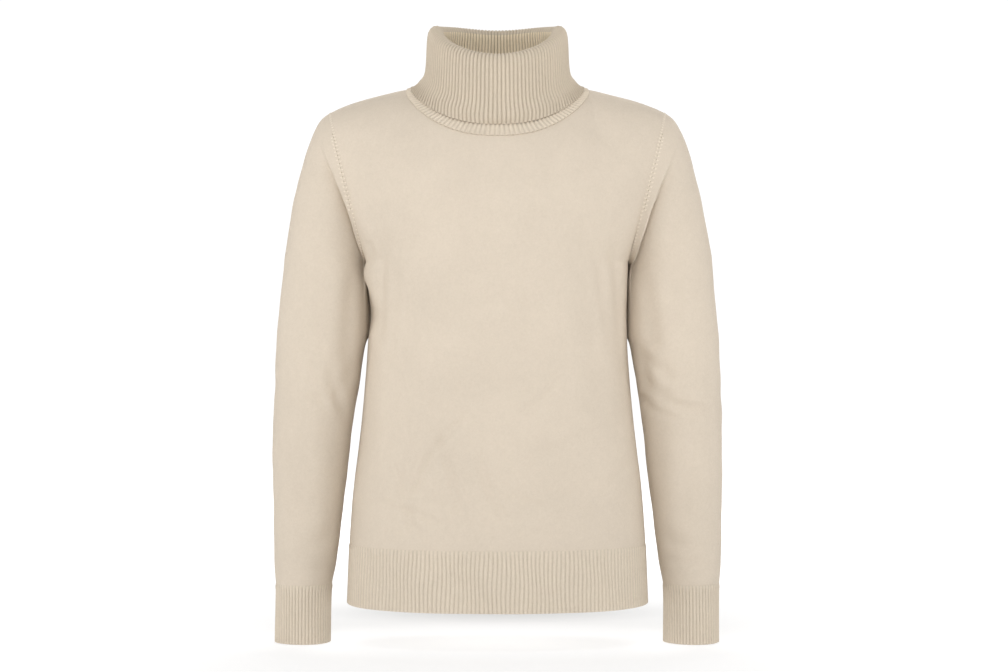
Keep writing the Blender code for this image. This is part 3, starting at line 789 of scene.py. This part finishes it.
hem = {
    "ribsAPanel": 96,
    "rows": 20,
    "thickness": 0.0013,
    "sideLift": 0.0026,  # the lower edge rises a little at the side seams
    "sideLiftPower": 5,
    "swell": 0.0009,
    "swellWaves": 4.5,
    "strayWaves": 5.65,
    "strayClimb": 3.4,
}


def makeHemRib(name, face):
    columns = hem["ribsAPanel"] * ribs["pointsARib"]
    places = 2 * evenly(lambda f: torsoLow(face, 2 * f - 1, levels["hemTop"]), columns) - 1
    places = -face * places
    level = ribLevels(hem["rows"])
    heights = blend(levels["hemBottom"], levels["hemTop"], level[:, 0])
    sheet = np.array([torsoLow(face, places, z) for z in heights])
    normals = normalsOf(sheet, False)
    share = np.linspace(0, 1, columns + 1)[None, :]
    phase = 2 * pi * hem["ribsAPanel"] * share * np.ones_like(level)
    relief = ribRelief(phase, level, ribs["reliefHem"], 1.3 + face)
    calm = np.sin(share * pi)
    swell = hem["swell"] * np.sin(2 * pi * hem["swellWaves"] * share + 1.3 * face) * (1 - level) * calm
    stray = np.sin(2 * pi * hem["strayWaves"] * share + hem["strayClimb"] * level + face) * calm
    stray = ribs["wanderMm"] / 1000 * stray * np.sin(level * pi)
    tangent = np.gradient(sheet, axis=1)
    tangent /= np.linalg.norm(tangent, axis=-1, keepdims=True)
    sheet = sheet + normals * (relief + swell)[..., None] + tangent * stray[..., None]
    sheet[..., 2] += hem["sideLift"] * (1 - level) * np.abs(2 * share - 1) ** hem["sideLiftPower"]
    wales = share * hem["ribsAPanel"] * ribs["onMap"]
    piece = layCloth(name, sheet, hem["thickness"], False, [ribCotton], wales, ribs["onMap"])
    declare(piece)
    return piece


hemRibFront = makeHemRib("hemRibFront", -1)
hemRibBack = makeHemRib("hemRibBack", 1)
print("hem made")


# sleeves

arm = rowsOf("z inner outer front back", [
    (-0.2089, 0.1583, 0.2561, 0.052, 0.054),
    (-0.222, 0.1568, 0.2578, 0.052, 0.054),
    (-0.24, 0.156, 0.2596, 0.052, 0.054),
    (-0.292, 0.1562, 0.265, 0.051, 0.054),
    (-0.312, 0.16, 0.266, 0.051, 0.054),
    (-0.345, 0.1652, 0.2672, 0.049, 0.053),
    (-0.4, 0.1735, 0.2688, 0.046, 0.05),
    (-0.475, 0.1828, 0.2694, 0.043, 0.043),
    (-0.56, 0.1928, 0.2674, 0.038, 0.033),
    (-0.59, 0.1984, 0.2658, 0.0355, 0.0275),
    (-0.66, 0.1996, 0.2662, 0.0355, 0.0275),
])
sleeveHead = rowsOf("angle reach", [  # the outline from the front, about a small fold under the arm
    (0.0, 0.1011),
    (17.0, 0.1022),
    (31.0, 0.1091),
    (43.0, 0.1213),
    (53.0, 0.1372),
    (61.0, 0.1555),
    (68.0, 0.1744),
    (72.2, 0.1849),
    (76.2, 0.1902),
])
sleeveCloth = {
    "thickness": 0.0013,
    "underarmFold": 0.003,
    "frontColumns": 66,
    "backColumns": 60,
    "armRows": 120,
    "headRows": 104,
    "swell": 0.0007,
    "blouse": 0.0004,  # how far the cloth stands out above the cuff
    "blouseAt": 0.013,
    "blouseHeight": 0.011,
    "headCrowding": 1.25,
    "easePasses": 12,  # ease the change of section where the head starts
    "easeHeight": 0.018,
    "easeShare": 0.2,
    "calmAtCuff": 0.04,  # shares of the sheet's rows over which the folds fade out
    "calmAtHead": 0.12,
    "calmFromBody": (0.158, 0.176),  # the side towards the body keeps its form, above the elbow
    "calmToElbow": (-0.33, -0.37),
    "calmFreed": 0.03,
}


def sleeveTop(turn, sweep):  # sweep is 0 at the armhole seam and 1 level with the armpit
    rise = (1 - np.cos(turn)) / 2
    steepest = radians(sleeveHead[-1]["angle"])
    fold = sleeveCloth["underarmFold"]
    pivotX = yoke["armpitX"] - fold * np.cos(steepest)
    pivotZ = yoke["armpitZ"] - fold * np.sin(steepest)

    def swept(f):
        angle = steepest * (1 - f)
        reach = blend(fold, column(sleeveHead, "reach", np.degrees(angle), key="angle"), rise)
        return pivotX + reach * np.cos(angle), pivotZ + reach * np.sin(angle)

    seam = torsoHigh(armholeX(rise), armholeAngle(turn))
    x, z = swept(sweep)
    startX, startZ = swept(0.0)
    x = x + (seam[..., 0] - startX) * (1 - sweep) ** 2
    z = z + (seam[..., 2] - startZ) * (1 - sweep) ** 2
    armY = -np.sin(turn) * np.where(np.sin(turn) >= 0, arm[0]["front"], arm[0]["back"])
    return points(x, blend(seam[..., 1], armY, smoothStep(0, 1, sweep)), z)


def armAt(turn, z):
    inner, outer = column(arm, "inner", z), column(arm, "outer", z)
    depth = np.where(np.sin(turn) >= 0, column(arm, "front", z), column(arm, "back", z))
    return points(blend(inner, outer, (1 - np.cos(turn)) / 2), -depth * np.sin(turn), z)


leftSleeveFolds = folds("front", [
    ((204, -374), (247, -378), 2.6, 5, 2),  # elbow, long line
    ((170, -367), (180, -379), 2.4, 6),  # elbow, dimple
    ((184, -384), (212, -388), 1.2, 5),  # elbow, lower line
    ((168, -312), (178, -356), 3.4, 8),  # elbow, hollow
    ((197, -351), (228, -360), -1.2, 7),  # elbow, puff
    ((178, -322), (206, -346), 1.8, 7, 0, 0.3),  # elbow, slant
    ((176, -232), (184, -310), 2.0, 9),  # inner arm
    ((212, -148), (206, -262), 1.3, 14),  # upper arm
    ((236, -410), (222, -500), 1.2, 12),  # forearm
    ((206, -562), (252, -572), 1.4, 7, -3),  # above the cuff, outer
    ((200, -532), (236, -546), 1.2, 8, 3),  # above the cuff, inner
])
leftSleeveFolds += folds("back", [
    ((172, -322), (222, -352), 2.4, 8, 0, 0.2),  # elbow back, upper
    ((178, -398), (228, -384), 2.2, 8),  # elbow back, lower
    ((206, -150), (196, -270), 1.8, 13),  # upper arm back
    ((204, -556), (252, -566), 1.4, 7, 3),  # above the cuff, back
])
leftSleeveFolds += folds("left", [
    ((-12, -84), (14, -200), 0.6, 15),  # outside, shoulder
    ((-28, -352), (30, -376), 0.6, 11, 5),  # outside, elbow
    ((18, -430), (-10, -530), 0.6, 11),  # outside, forearm
])
rightSleeveFolds = folds("front", [
    ((-190, -358), (-182, -385), 2.2, 5.5, 2),  # elbow, hook
    ((-197, -332), (-194, -358), 1.3, 6),  # elbow, patch
    ((-224, -366), (-202, -373), 1.4, 6),  # elbow, smudge
    ((-238, -312), (-210, -327), 1.2, 7),  # elbow, outer
    ((-172, -330), (-182, -350), 1.2, 7),  # elbow, inner hollow
    ((-172, -226), (-178, -322), 2.2, 9),  # inner arm
    ((-218, -128), (-210, -250), 1.4, 14),  # upper arm
    ((-238, -396), (-228, -506), 1.2, 12),  # forearm
    ((-254, -560), (-210, -574), 1.5, 7, 3),  # above the cuff, outer
    ((-198, -528), (-232, -544), 1.2, 8, -3),  # above the cuff, inner
])
rightSleeveFolds += folds("back", [
    ((-170, -330), (-220, -346), 2.2, 8, 0, -0.2),  # elbow back, upper
    ((-176, -388), (-230, -396), 2.3, 8),  # elbow back, lower
    ((-208, -146), (-198, -262), 1.7, 13),  # upper arm back
    ((-252, -558), (-206, -568), 1.4, 7, -3),  # above the cuff, back
])
rightSleeveFolds += folds("right", [
    ((-10, -90), (16, -206), 0.6, 15),  # outside, shoulder
    ((-26, -366), (32, -348), 0.6, 11, -5),  # outside, elbow
    ((14, -440), (-12, -536), 0.6, 11),  # outside, forearm
])


stitching = {
    "legLength": 0.0030,
    "legWidth": 0.0012,
    "legHeight": 0.0010,
    "legLean": radians(24),
    "eyeletLength": 0.0028,  # a dark patch of painted shade for the small hole that each narrowing of the knitting leaves
    "eyeletWidth": 0.0018,
    "eyeletHeight": 0.00072,
    "sunk": 0.0002,
    "legApart": 0.52,  # of a leg's width
    "aimAhead": 0.002,
    "armMiddle": 0.18,
}
# metres from the armhole seam and from stitch to stitch, and shares of the way to the shoulder
stitchRows = rowsOf("kind at pitch from to", [
    ("stitch", 0.0011, 0.0044, 0.02, 0.995),
    ("eyelet", 0.0030, 0.0044, 0.46, 0.86),
    ("stitch", 0.0050, 0.0044, 0.46, 0.84),
])


def makeLeg(length, width, height, lean=0.0, aside=0.0):
    bpy.ops.mesh.primitive_uv_sphere_add(segments=6, ring_count=4, radius=0.5)
    leg = bpy.context.object
    leg.scale = (width, length, height)
    leg.rotation_euler = (0, 0, lean)
    leg.location = (aside, 0, 0)
    bpy.ops.object.transform_apply(location=True, rotation=True, scale=True)
    bpy.ops.object.shade_smooth()
    leg.data.materials.append(linkingYarnPaintedHighlight)
    leg.data.materials.append(eyeletShade)
    return leg


def makeStitch():  # one V of two leaning legs, seen along +Z, with its point towards -Y
    lean, aside = stitching["legLean"], stitching["legWidth"] * stitching["legApart"]
    size = (stitching["legLength"], stitching["legWidth"], stitching["legHeight"])
    legs = [makeLeg(*size, -side * lean, side * aside) for side in (-1, 1)]
    for leg in legs:
        leg.select_set(True)
    bpy.ops.object.join()
    return bpy.context.object


def makeEyeletShade():
    # a flat dark patch of painted shade where a hole would show
    eyelet = makeLeg(stitching["eyeletLength"], stitching["eyeletWidth"], stitching["eyeletHeight"])
    for face in eyelet.data.polygons:
        face.material_index = 1
    return eyelet


def onSheet(sheet, fromEnd, column):  # a place near a sheet's last row, the way in from it and along it
    c = int(column)
    line = blend(sheet[::-1, c], sheet[::-1, c + 1], column - c)
    reached = np.concatenate([[0], np.cumsum(np.linalg.norm(np.diff(line, axis=0), axis=1))])

    def read(values, at):
        return Vector([np.interp(at, reached, values[:, axis]) for axis in range(3)])

    place = read(line, fromEnd)
    inward = read(line, fromEnd + stitching["aimAhead"]) - place
    return place, inward.normalized(), read(sheet[::-1, c + 1] - sheet[::-1, c], fromEnd).normalized()


def makeArmholeStitches(name, sheet, side):
    patterns = {"stitch": makeStitch(), "eyelet": makeEyeletShade()}
    front, back = sleeveCloth["frontColumns"], sleeveCloth["backColumns"]
    halves = ((0, front), (front + back, front))  # columns from the underarm up to the shoulder
    if side < 0:  # a right sleeve's columns run the other way
        halves = ((front + back, back), (0, back))
    sewn = bmesh.new()
    for low, high in halves:
        low = low - 0.001 if low > high else low  # so that there is always a column after it
        seam = sheet[-1, min(int(low), high) : max(int(low), high) + 1]
        length = np.linalg.norm(np.diff(seam, axis=0), axis=1).sum()
        for row in stitchRows:
            count = round(length * (row["to"] - row["from"]) / row["pitch"])
            for share in np.linspace(row["from"], row["to"], count):
                place, inward, along = onSheet(sheet, row["at"], blend(low, high, share))
                outward = inward.cross(along).normalized()
                if outward.dot(place - Vector((side * stitching["armMiddle"], 0, place.z))) < 0:
                    outward = -outward
                up = along if low < high else -along
                turn = Matrix((up.cross(outward), up, outward)).transposed().to_4x4()
                copy = patterns[row["kind"]].data.copy()
                copy.transform(Matrix.Translation(place - outward * stitching["sunk"]) @ turn)
                sewn.from_mesh(copy)
                bpy.data.meshes.remove(copy)
    for pattern in patterns.values():
        bpy.data.objects.remove(pattern)
    mesh = bpy.data.meshes.new(name)
    bmesh.ops.recalc_face_normals(sewn, faces=sewn.faces)
    sewn.to_mesh(mesh)
    sewn.free()
    piece = bpy.data.objects.new(name, mesh)
    scene.collection.objects.link(piece)
    mesh.materials.append(linkingYarnPaintedHighlight)
    mesh.materials.append(eyeletShade)
    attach(piece, "root")
    print(f"{name}: {len(mesh.polygons)} faces")
    return piece


def makeSleeve(name, side, creases):
    front = armholeTurns(-1, np.linspace(0, 1, sleeveCloth["frontColumns"] + 1))
    back = armholeTurns(1, np.linspace(0, 1, sleeveCloth["backColumns"] + 1))
    turns = np.concatenate([front, back[-2::-1]])
    heights = np.linspace(levels["cuffTop"], arm[0]["z"], sleeveCloth["armRows"], endpoint=False)
    sweeps = np.linspace(1, 0, sleeveCloth["headRows"] + 1) ** sleeveCloth["headCrowding"]
    sheet = np.array([armAt(turns, z) for z in heights] + [sleeveTop(turns, sweep) for sweep in sweeps])
    for _ in range(sleeveCloth["easePasses"]):
        inner = sheet[1:-1]
        near = bell(inner[:, :, 2] - arm[0]["z"], sleeveCloth["easeHeight"])[..., None]
        inner += sleeveCloth["easeShare"] * near * (sheet[2:] + sheet[:-2] - 2 * inner)
    if side < 0:
        sheet = sheet[:, ::-1] * (-1, 1, 1)
    sheet = foldedAtArmhole(sheet, True)
    normals = normalsOf(sheet, True)
    ends = np.linspace(0, 1, sheet.shape[0])[:, None]
    calm = smoothStep(0, sleeveCloth["calmAtCuff"], ends) * smoothStep(0, sleeveCloth["calmAtHead"], 1 - ends)
    freed = sleeveCloth["calmFreed"] * smoothStep(*sleeveCloth["calmToElbow"], sheet[..., 2])
    calm = calm * smoothStep(*sleeveCloth["calmFromBody"], np.abs(sheet[..., 0]) + freed)
    shift = foldShift(creases, sheet, normals) + unevenness(sheet, sleeveCloth["swell"], 3.1 * side)
    aboveCuff = sheet[..., 2] - levels["cuffTop"] - sleeveCloth["blouseAt"]
    shift = shift * calm + sleeveCloth["blouse"] * bell(aboveCuff, sleeveCloth["blouseHeight"])
    sheet = sunkBorder(sheet + normals * shift[..., None], True, ("start",))
    stitches = makeArmholeStitches(name + "Stitches", sheet, side)
    piece = layCloth(name, sheet, sleeveCloth["thickness"], True, [plainCotton])
    declare(piece)
    return piece


leftSleeve = makeSleeve("leftSleeve", 1, leftSleeveFolds)
rightSleeve = makeSleeve("rightSleeve", -1, rightSleeveFolds)
print("sleeves made")


# cuffs

cuff = {"ribs": 50, "rows": 20, "thickness": 0.0013, "swell": 0.0008, "swellWaves": 3}


def makeCuff(name, side):
    columns = cuff["ribs"] * ribs["pointsARib"]
    turns = 2 * pi * evenly(lambda f: armAt(2 * pi * f, levels["cuffBottom"]), columns)
    level = ribLevels(cuff["rows"])
    heights = blend(levels["cuffBottom"], levels["cuffTop"], level[:, 0])
    sheet = np.array([armAt(turns, z) for z in heights])
    normals = normalsOf(sheet, True)
    share = np.linspace(0, 1, columns + 1)[None, :]
    relief = ribRelief(2 * pi * cuff["ribs"] * share, level, ribs["reliefCuff"], 2.7 * side)
    swell = cuff["swell"] * np.sin(2 * pi * cuff["swellWaves"] * share + 1.9 * side) * (1 - level)
    sheet = sheet + normals * (relief + swell)[..., None]
    if side < 0:
        sheet = sheet[:, ::-1] * (-1, 1, 1)
    wales = share * cuff["ribs"] * ribs["onMap"]
    piece = layCloth(name, sheet, cuff["thickness"], True, [ribCotton], wales, ribs["onMap"])
    declare(piece)
    return piece


leftCuff = makeCuff("leftCuff", 1)
rightCuff = makeCuff("rightCuff", -1)
print("cuffs made")


# roll collar: the middle of its cloth goes up the inside, over the roll and down the outside

collarRings = rowsOf("half front back sideZ frontZ backZ dip bow rim", [
    (0.0765, 0.073, 0.056, 0.02, -0.035, 0.015, 1.15, 1.0, 0.0),  # inside low
    (0.066, 0.067, 0.0535, 0.0655, 0.0236, 0.0684, 1.24, 1.0, 1.0),  # inside high
    (0.0676, 0.0685, 0.0555, 0.0742, 0.0326, 0.0772, 1.2, 1.0, 1.0),  # roll inside
    (0.0738, 0.0725, 0.06, 0.0774, 0.0356, 0.0804, 1.2, 1.0, 1.0),  # roll top
    (0.08, 0.077, 0.0645, 0.0736, 0.0318, 0.0764, 1.2, 1.0, 1.0),  # roll outside
    (0.083, 0.0795, 0.067, 0.0635, 0.0226, 0.0665, 1.24, 1.0, 1.0),  # outside high
    (0.0858, 0.0803, 0.069, 0.0228, -0.02, 0.02, 1.3, 0.94, 0.0),  # outside low
    (0.0925, 0.081, 0.07, 0.0112, -0.037, 0.002, 1.22, 0.82, 0.0),  # flare
])
collar = {
    "ribs": 108,
    "rows": 50,
    "thickness": 0.0012,
    "footInset": 0.014,
    "edgeFront": 0.0162,
    "edgeSide": 0.0035,
    "edgeBack": -0.014,
    "edgeLift": 0.0018,
    "edgeLiftAtSides": 0.0012,
    "footLift": 0.0007,
    "footOverlap": 0.0027,  # at the shoulders the foot reaches over the end of the shoulder seam
    "reliefAtFoot": 0.75,  # the ribs are stretched flat where the collar joins the panels
    "backRimLift": 0.0018,  # between the sides and the middle of the back
    "rimRows": 2,  # the outside's painted-shade copy reaches this many rows in over the rim, before the inside's painted light
    "edgeTurn": 1.2,
    "footOverlapPower": 6,
    "stretchedTo": (0.05, 0.30),  # shares of the way from the foot to the lower edge
    "pointsARib": 8,
}


def collarRing(ring, turn):
    c = np.cos(turn)
    lowest = np.where(c > 0, ring["frontZ"], ring["backZ"])
    z = blend(ring["sideZ"], lowest, np.abs(c) ** ring["dip"])
    z = z + np.where(c > 0, 0, collar["backRimLift"] * (np.sin(2 * turn) ** 2 - 0.5 * c**4)) * ring["rim"]
    y = np.abs(c) ** ring["bow"] * np.where(c > 0, -ring["front"], ring["back"])
    return points(ring["half"] * np.sin(turn), y, z)


def throughRings(rings, rows):  # smooth columns through the rings, with rows the same distance apart
    chords = np.linalg.norm(np.diff(rings, axis=0), axis=-1).mean(axis=1)
    reached = np.concatenate([[0], np.cumsum(np.sqrt(chords))])
    fine = np.linspace(0, reached[-1], 400)

    def read(places):
        columns = [[smoothCurve(reached, line, places) for line in rings[:, :, axis].T] for axis in range(3)]
        return np.array(columns).transpose(2, 1, 0)

    lengths = np.linalg.norm(np.diff(read(fine), axis=0), axis=-1).mean(axis=1)
    travelled = np.concatenate([[0], np.cumsum(lengths)])
    return read(np.interp(np.linspace(0, travelled[-1], rows + 1), travelled, fine))


def makeCollar(name):
    columns = collar["ribs"] * collar["pointsARib"]
    turns = 2 * pi * evenly(lambda f: collarRing(collarRings[3], 2 * pi * f), columns)
    c = np.cos(turns)
    facing = np.abs(c)  # 1 at the front's and the back's middle, 0 at the sides
    edgeInset = np.where(c > 0, collar["edgeFront"], collar["edgeBack"])
    edgeInset = blend(collar["edgeSide"], edgeInset, facing ** collar["edgeTurn"])
    overlap = collar["footOverlap"] * np.sin(turns) ** collar["footOverlapPower"]
    zeros = np.zeros_like(turns)
    rings = [neckLoop(turns, -overlap, zeros + collar["footLift"])]
    rings += [neckLoop(turns, zeros + collar["footInset"], zeros)]
    rings += [collarRing(ring, turns) for ring in collarRings]
    rings += [neckLoop(turns, edgeInset, blend(collar["edgeLiftAtSides"], collar["edgeLift"], facing))]
    sheet = throughRings(np.array(rings), collar["rows"])[:, ::-1]
    normals = normalsOf(sheet, True)
    share = np.linspace(0, 1, columns + 1)[None, :]
    level = np.linspace(0, 1, collar["rows"] + 1)[:, None]
    stretched = blend(collar["reliefAtFoot"], 1, smoothStep(*collar["stretchedTo"], level))
    relief = ribs["reliefCollar"] * (2 * ribProfile(2 * pi * collar["ribs"] * share) - 1) * stretched
    sheet = sheet + normals * (relief + collar["thickness"] / 2)[..., None]
    wales = share * collar["ribs"] * ribs["onMap"]
    cottons = [ribCotton, insideCottonPaintedLight, collarCottonPaintedShade]
    piece = layCloth(name, sheet, collar["thickness"], True, cottons, wales, ribs["onMap"])
    # faces below here take the inside's painted bounce light, the rest the roll's painted-shade copy
    insidePaintedLightFaces = (int(np.argmax(sheet[:, :, 2].mean(axis=1))) - collar["rimRows"]) * columns
    for face in piece.data.polygons[: collar["rows"] * columns]:  # the grid's faces, row by row from the foot
        face.material_index = 1 if face.index < insidePaintedLightFaces else 2
    declare(piece)
    return piece


rollCollar = makeCollar("rollCollar")
print("collar made")


# floor and light

studio = {
    "world": 0.46,
    "radius": 7.0,
    "backdropHeight": 9.0,
    "backdropMiddle": 2.0,
    "backdrop": 1.05,
    "glowNear": 0.52,  # the table's glow is dimmer near its middle and brighter towards its edge
    "glowFar": 0.86,
    "glowFrom": 0.75,
    "glowTo": 1.8,
    "tableGrey": 0.50,
    "tableBelow": 0.0006,
    "corners": 96,
    "aim": (0, 0, -0.3),
    "paintedLightAndShadow": (  # a painted pool of light on the table under the garment, and a painted shadow behind it
        {"glow": 0.36, "size": (0.36, 0.20), "middle": (0.0, 0.01)},
        {"glow": -0.26, "size": (0.30, 0.17), "middle": (0.0, 0.31)},
    ),
}
bpy.ops.mesh.primitive_circle_add(
    vertices=studio["corners"],
    radius=studio["radius"],
    fill_type="NGON",
    location=(0, 0, levels["cuffBottom"] - studio["tableBelow"]),
)
table = bpy.context.object
table.name = "paleTable"
bpy.ops.mesh.primitive_cylinder_add(
    vertices=studio["corners"],
    radius=studio["radius"],
    depth=studio["backdropHeight"],
    end_fill_type="NOTHING",
    location=(0, 0, studio["backdropMiddle"]),
)
backdrop = bpy.context.object
backdrop.name = "paleBackdrop"
backdrop.visible_diffuse = False  # it is only looked at: the lamps and the world light the garment
backdrop.visible_glossy = False
for surface, name, grey in ((table, "litAcrylicTable", studio["tableGrey"]), (backdrop, "litBackdrop", 0.0)):
    bpy.ops.object.select_all(action="DESELECT")
    surface.select_set(True)
    bpy.context.view_layer.objects.active = surface
    bpy.ops.object.transform_apply(location=True, rotation=True, scale=True)
    acrylic, acrylicTree, acrylicSurface = newMaterial(name)  # opal acrylic with lamps behind it
    acrylicSurface.inputs["Base Color"].default_value = (grey, grey, grey, 1)
    acrylicSurface.inputs["Emission Color"].default_value = (1, 1, 1, 1)
    acrylicSurface.inputs["Emission Strength"].default_value = studio["backdrop"]
    acrylicSurface.inputs["Roughness"].default_value = 0.9
    acrylicSurface.inputs["Specular IOR Level"].default_value = 0.0
    if surface == table:
        spot = addNode(acrylicTree, "TexCoord", {})["Object"]
        away = addNode(acrylicTree, "VectorMath", {0: spot}, operation="LENGTH")["Value"]
        outwards = {"Value": away, "From Min": studio["glowFrom"], "From Max": studio["glowTo"]}
        outwards |= {"To Min": studio["glowNear"], "To Max": studio["glowFar"]}
        glow = addNode(acrylicTree, "MapRange", outwards)[0]
        # each patch adds painted light to the table's glow, or painted shadow where its glow is negative
        for patch in studio["paintedLightAndShadow"]:
            middle = (*patch["middle"], levels["cuffBottom"])
            centred = addNode(acrylicTree, "VectorMath", {0: spot, 1: middle}, operation="SUBTRACT")[0]
            size = (*patch["size"], 1)
            reach = addNode(acrylicTree, "VectorMath", {0: centred, 1: size}, operation="DIVIDE")[0]
            aside = addNode(acrylicTree, "VectorMath", {0: reach}, operation="LENGTH")["Value"]
            within = {"Value": aside, "From Min": 0, "From Max": 1, "To Min": patch["glow"], "To Max": 0}
            under = addNode(acrylicTree, "MapRange", within, interpolation_type="SMOOTHSTEP")[0]
            glow = addNode(acrylicTree, "Math", {0: glow, 1: under}, operation="ADD")[0]
        acrylicTree.links.new(glow, acrylicSurface.inputs["Emission Strength"])
    surface.data.materials.append(acrylic)

world = bpy.data.worlds.new("softStudio")
world.use_nodes = True
world.node_tree.nodes["Background"].inputs["Color"].default_value = (1, 1, 1, 1)
world.node_tree.nodes["Background"].inputs["Strength"].default_value = studio["world"]
scene.world = world

softboxes = rowsOf("name place size watts", [
    ("frontSoftbox", (-0.3, -3.6, 1.4), (2.2, 1.3), 42),
    ("topSoftbox", (-0.1, -2.9, 3.9), (3.4, 2.2), 60),
    ("leftSoftbox", (-2.5, -1.1, -0.45), (1.2, 1.5), 22),
    ("rightSoftbox", (2.5, -1.1, -0.45), (1.2, 1.5), 20),
    ("backSoftbox", (0.2, 2.2, 1.2), (2.2, 1.2), 36),
])
for box in softboxes:
    bpy.ops.object.light_add(type="AREA", location=box["place"])
    light = bpy.context.object
    light.name = box["name"]
    light.data.shape = "RECTANGLE"
    light.data.size, light.data.size_y = box["size"]
    light.data.energy = box["watts"]
    towards = Vector(studio["aim"]) - light.location
    light.rotation_euler = towards.to_track_quat("-Z", "Y").to_euler()
scene.view_settings.view_transform = "Standard"
print("stage and lights set")
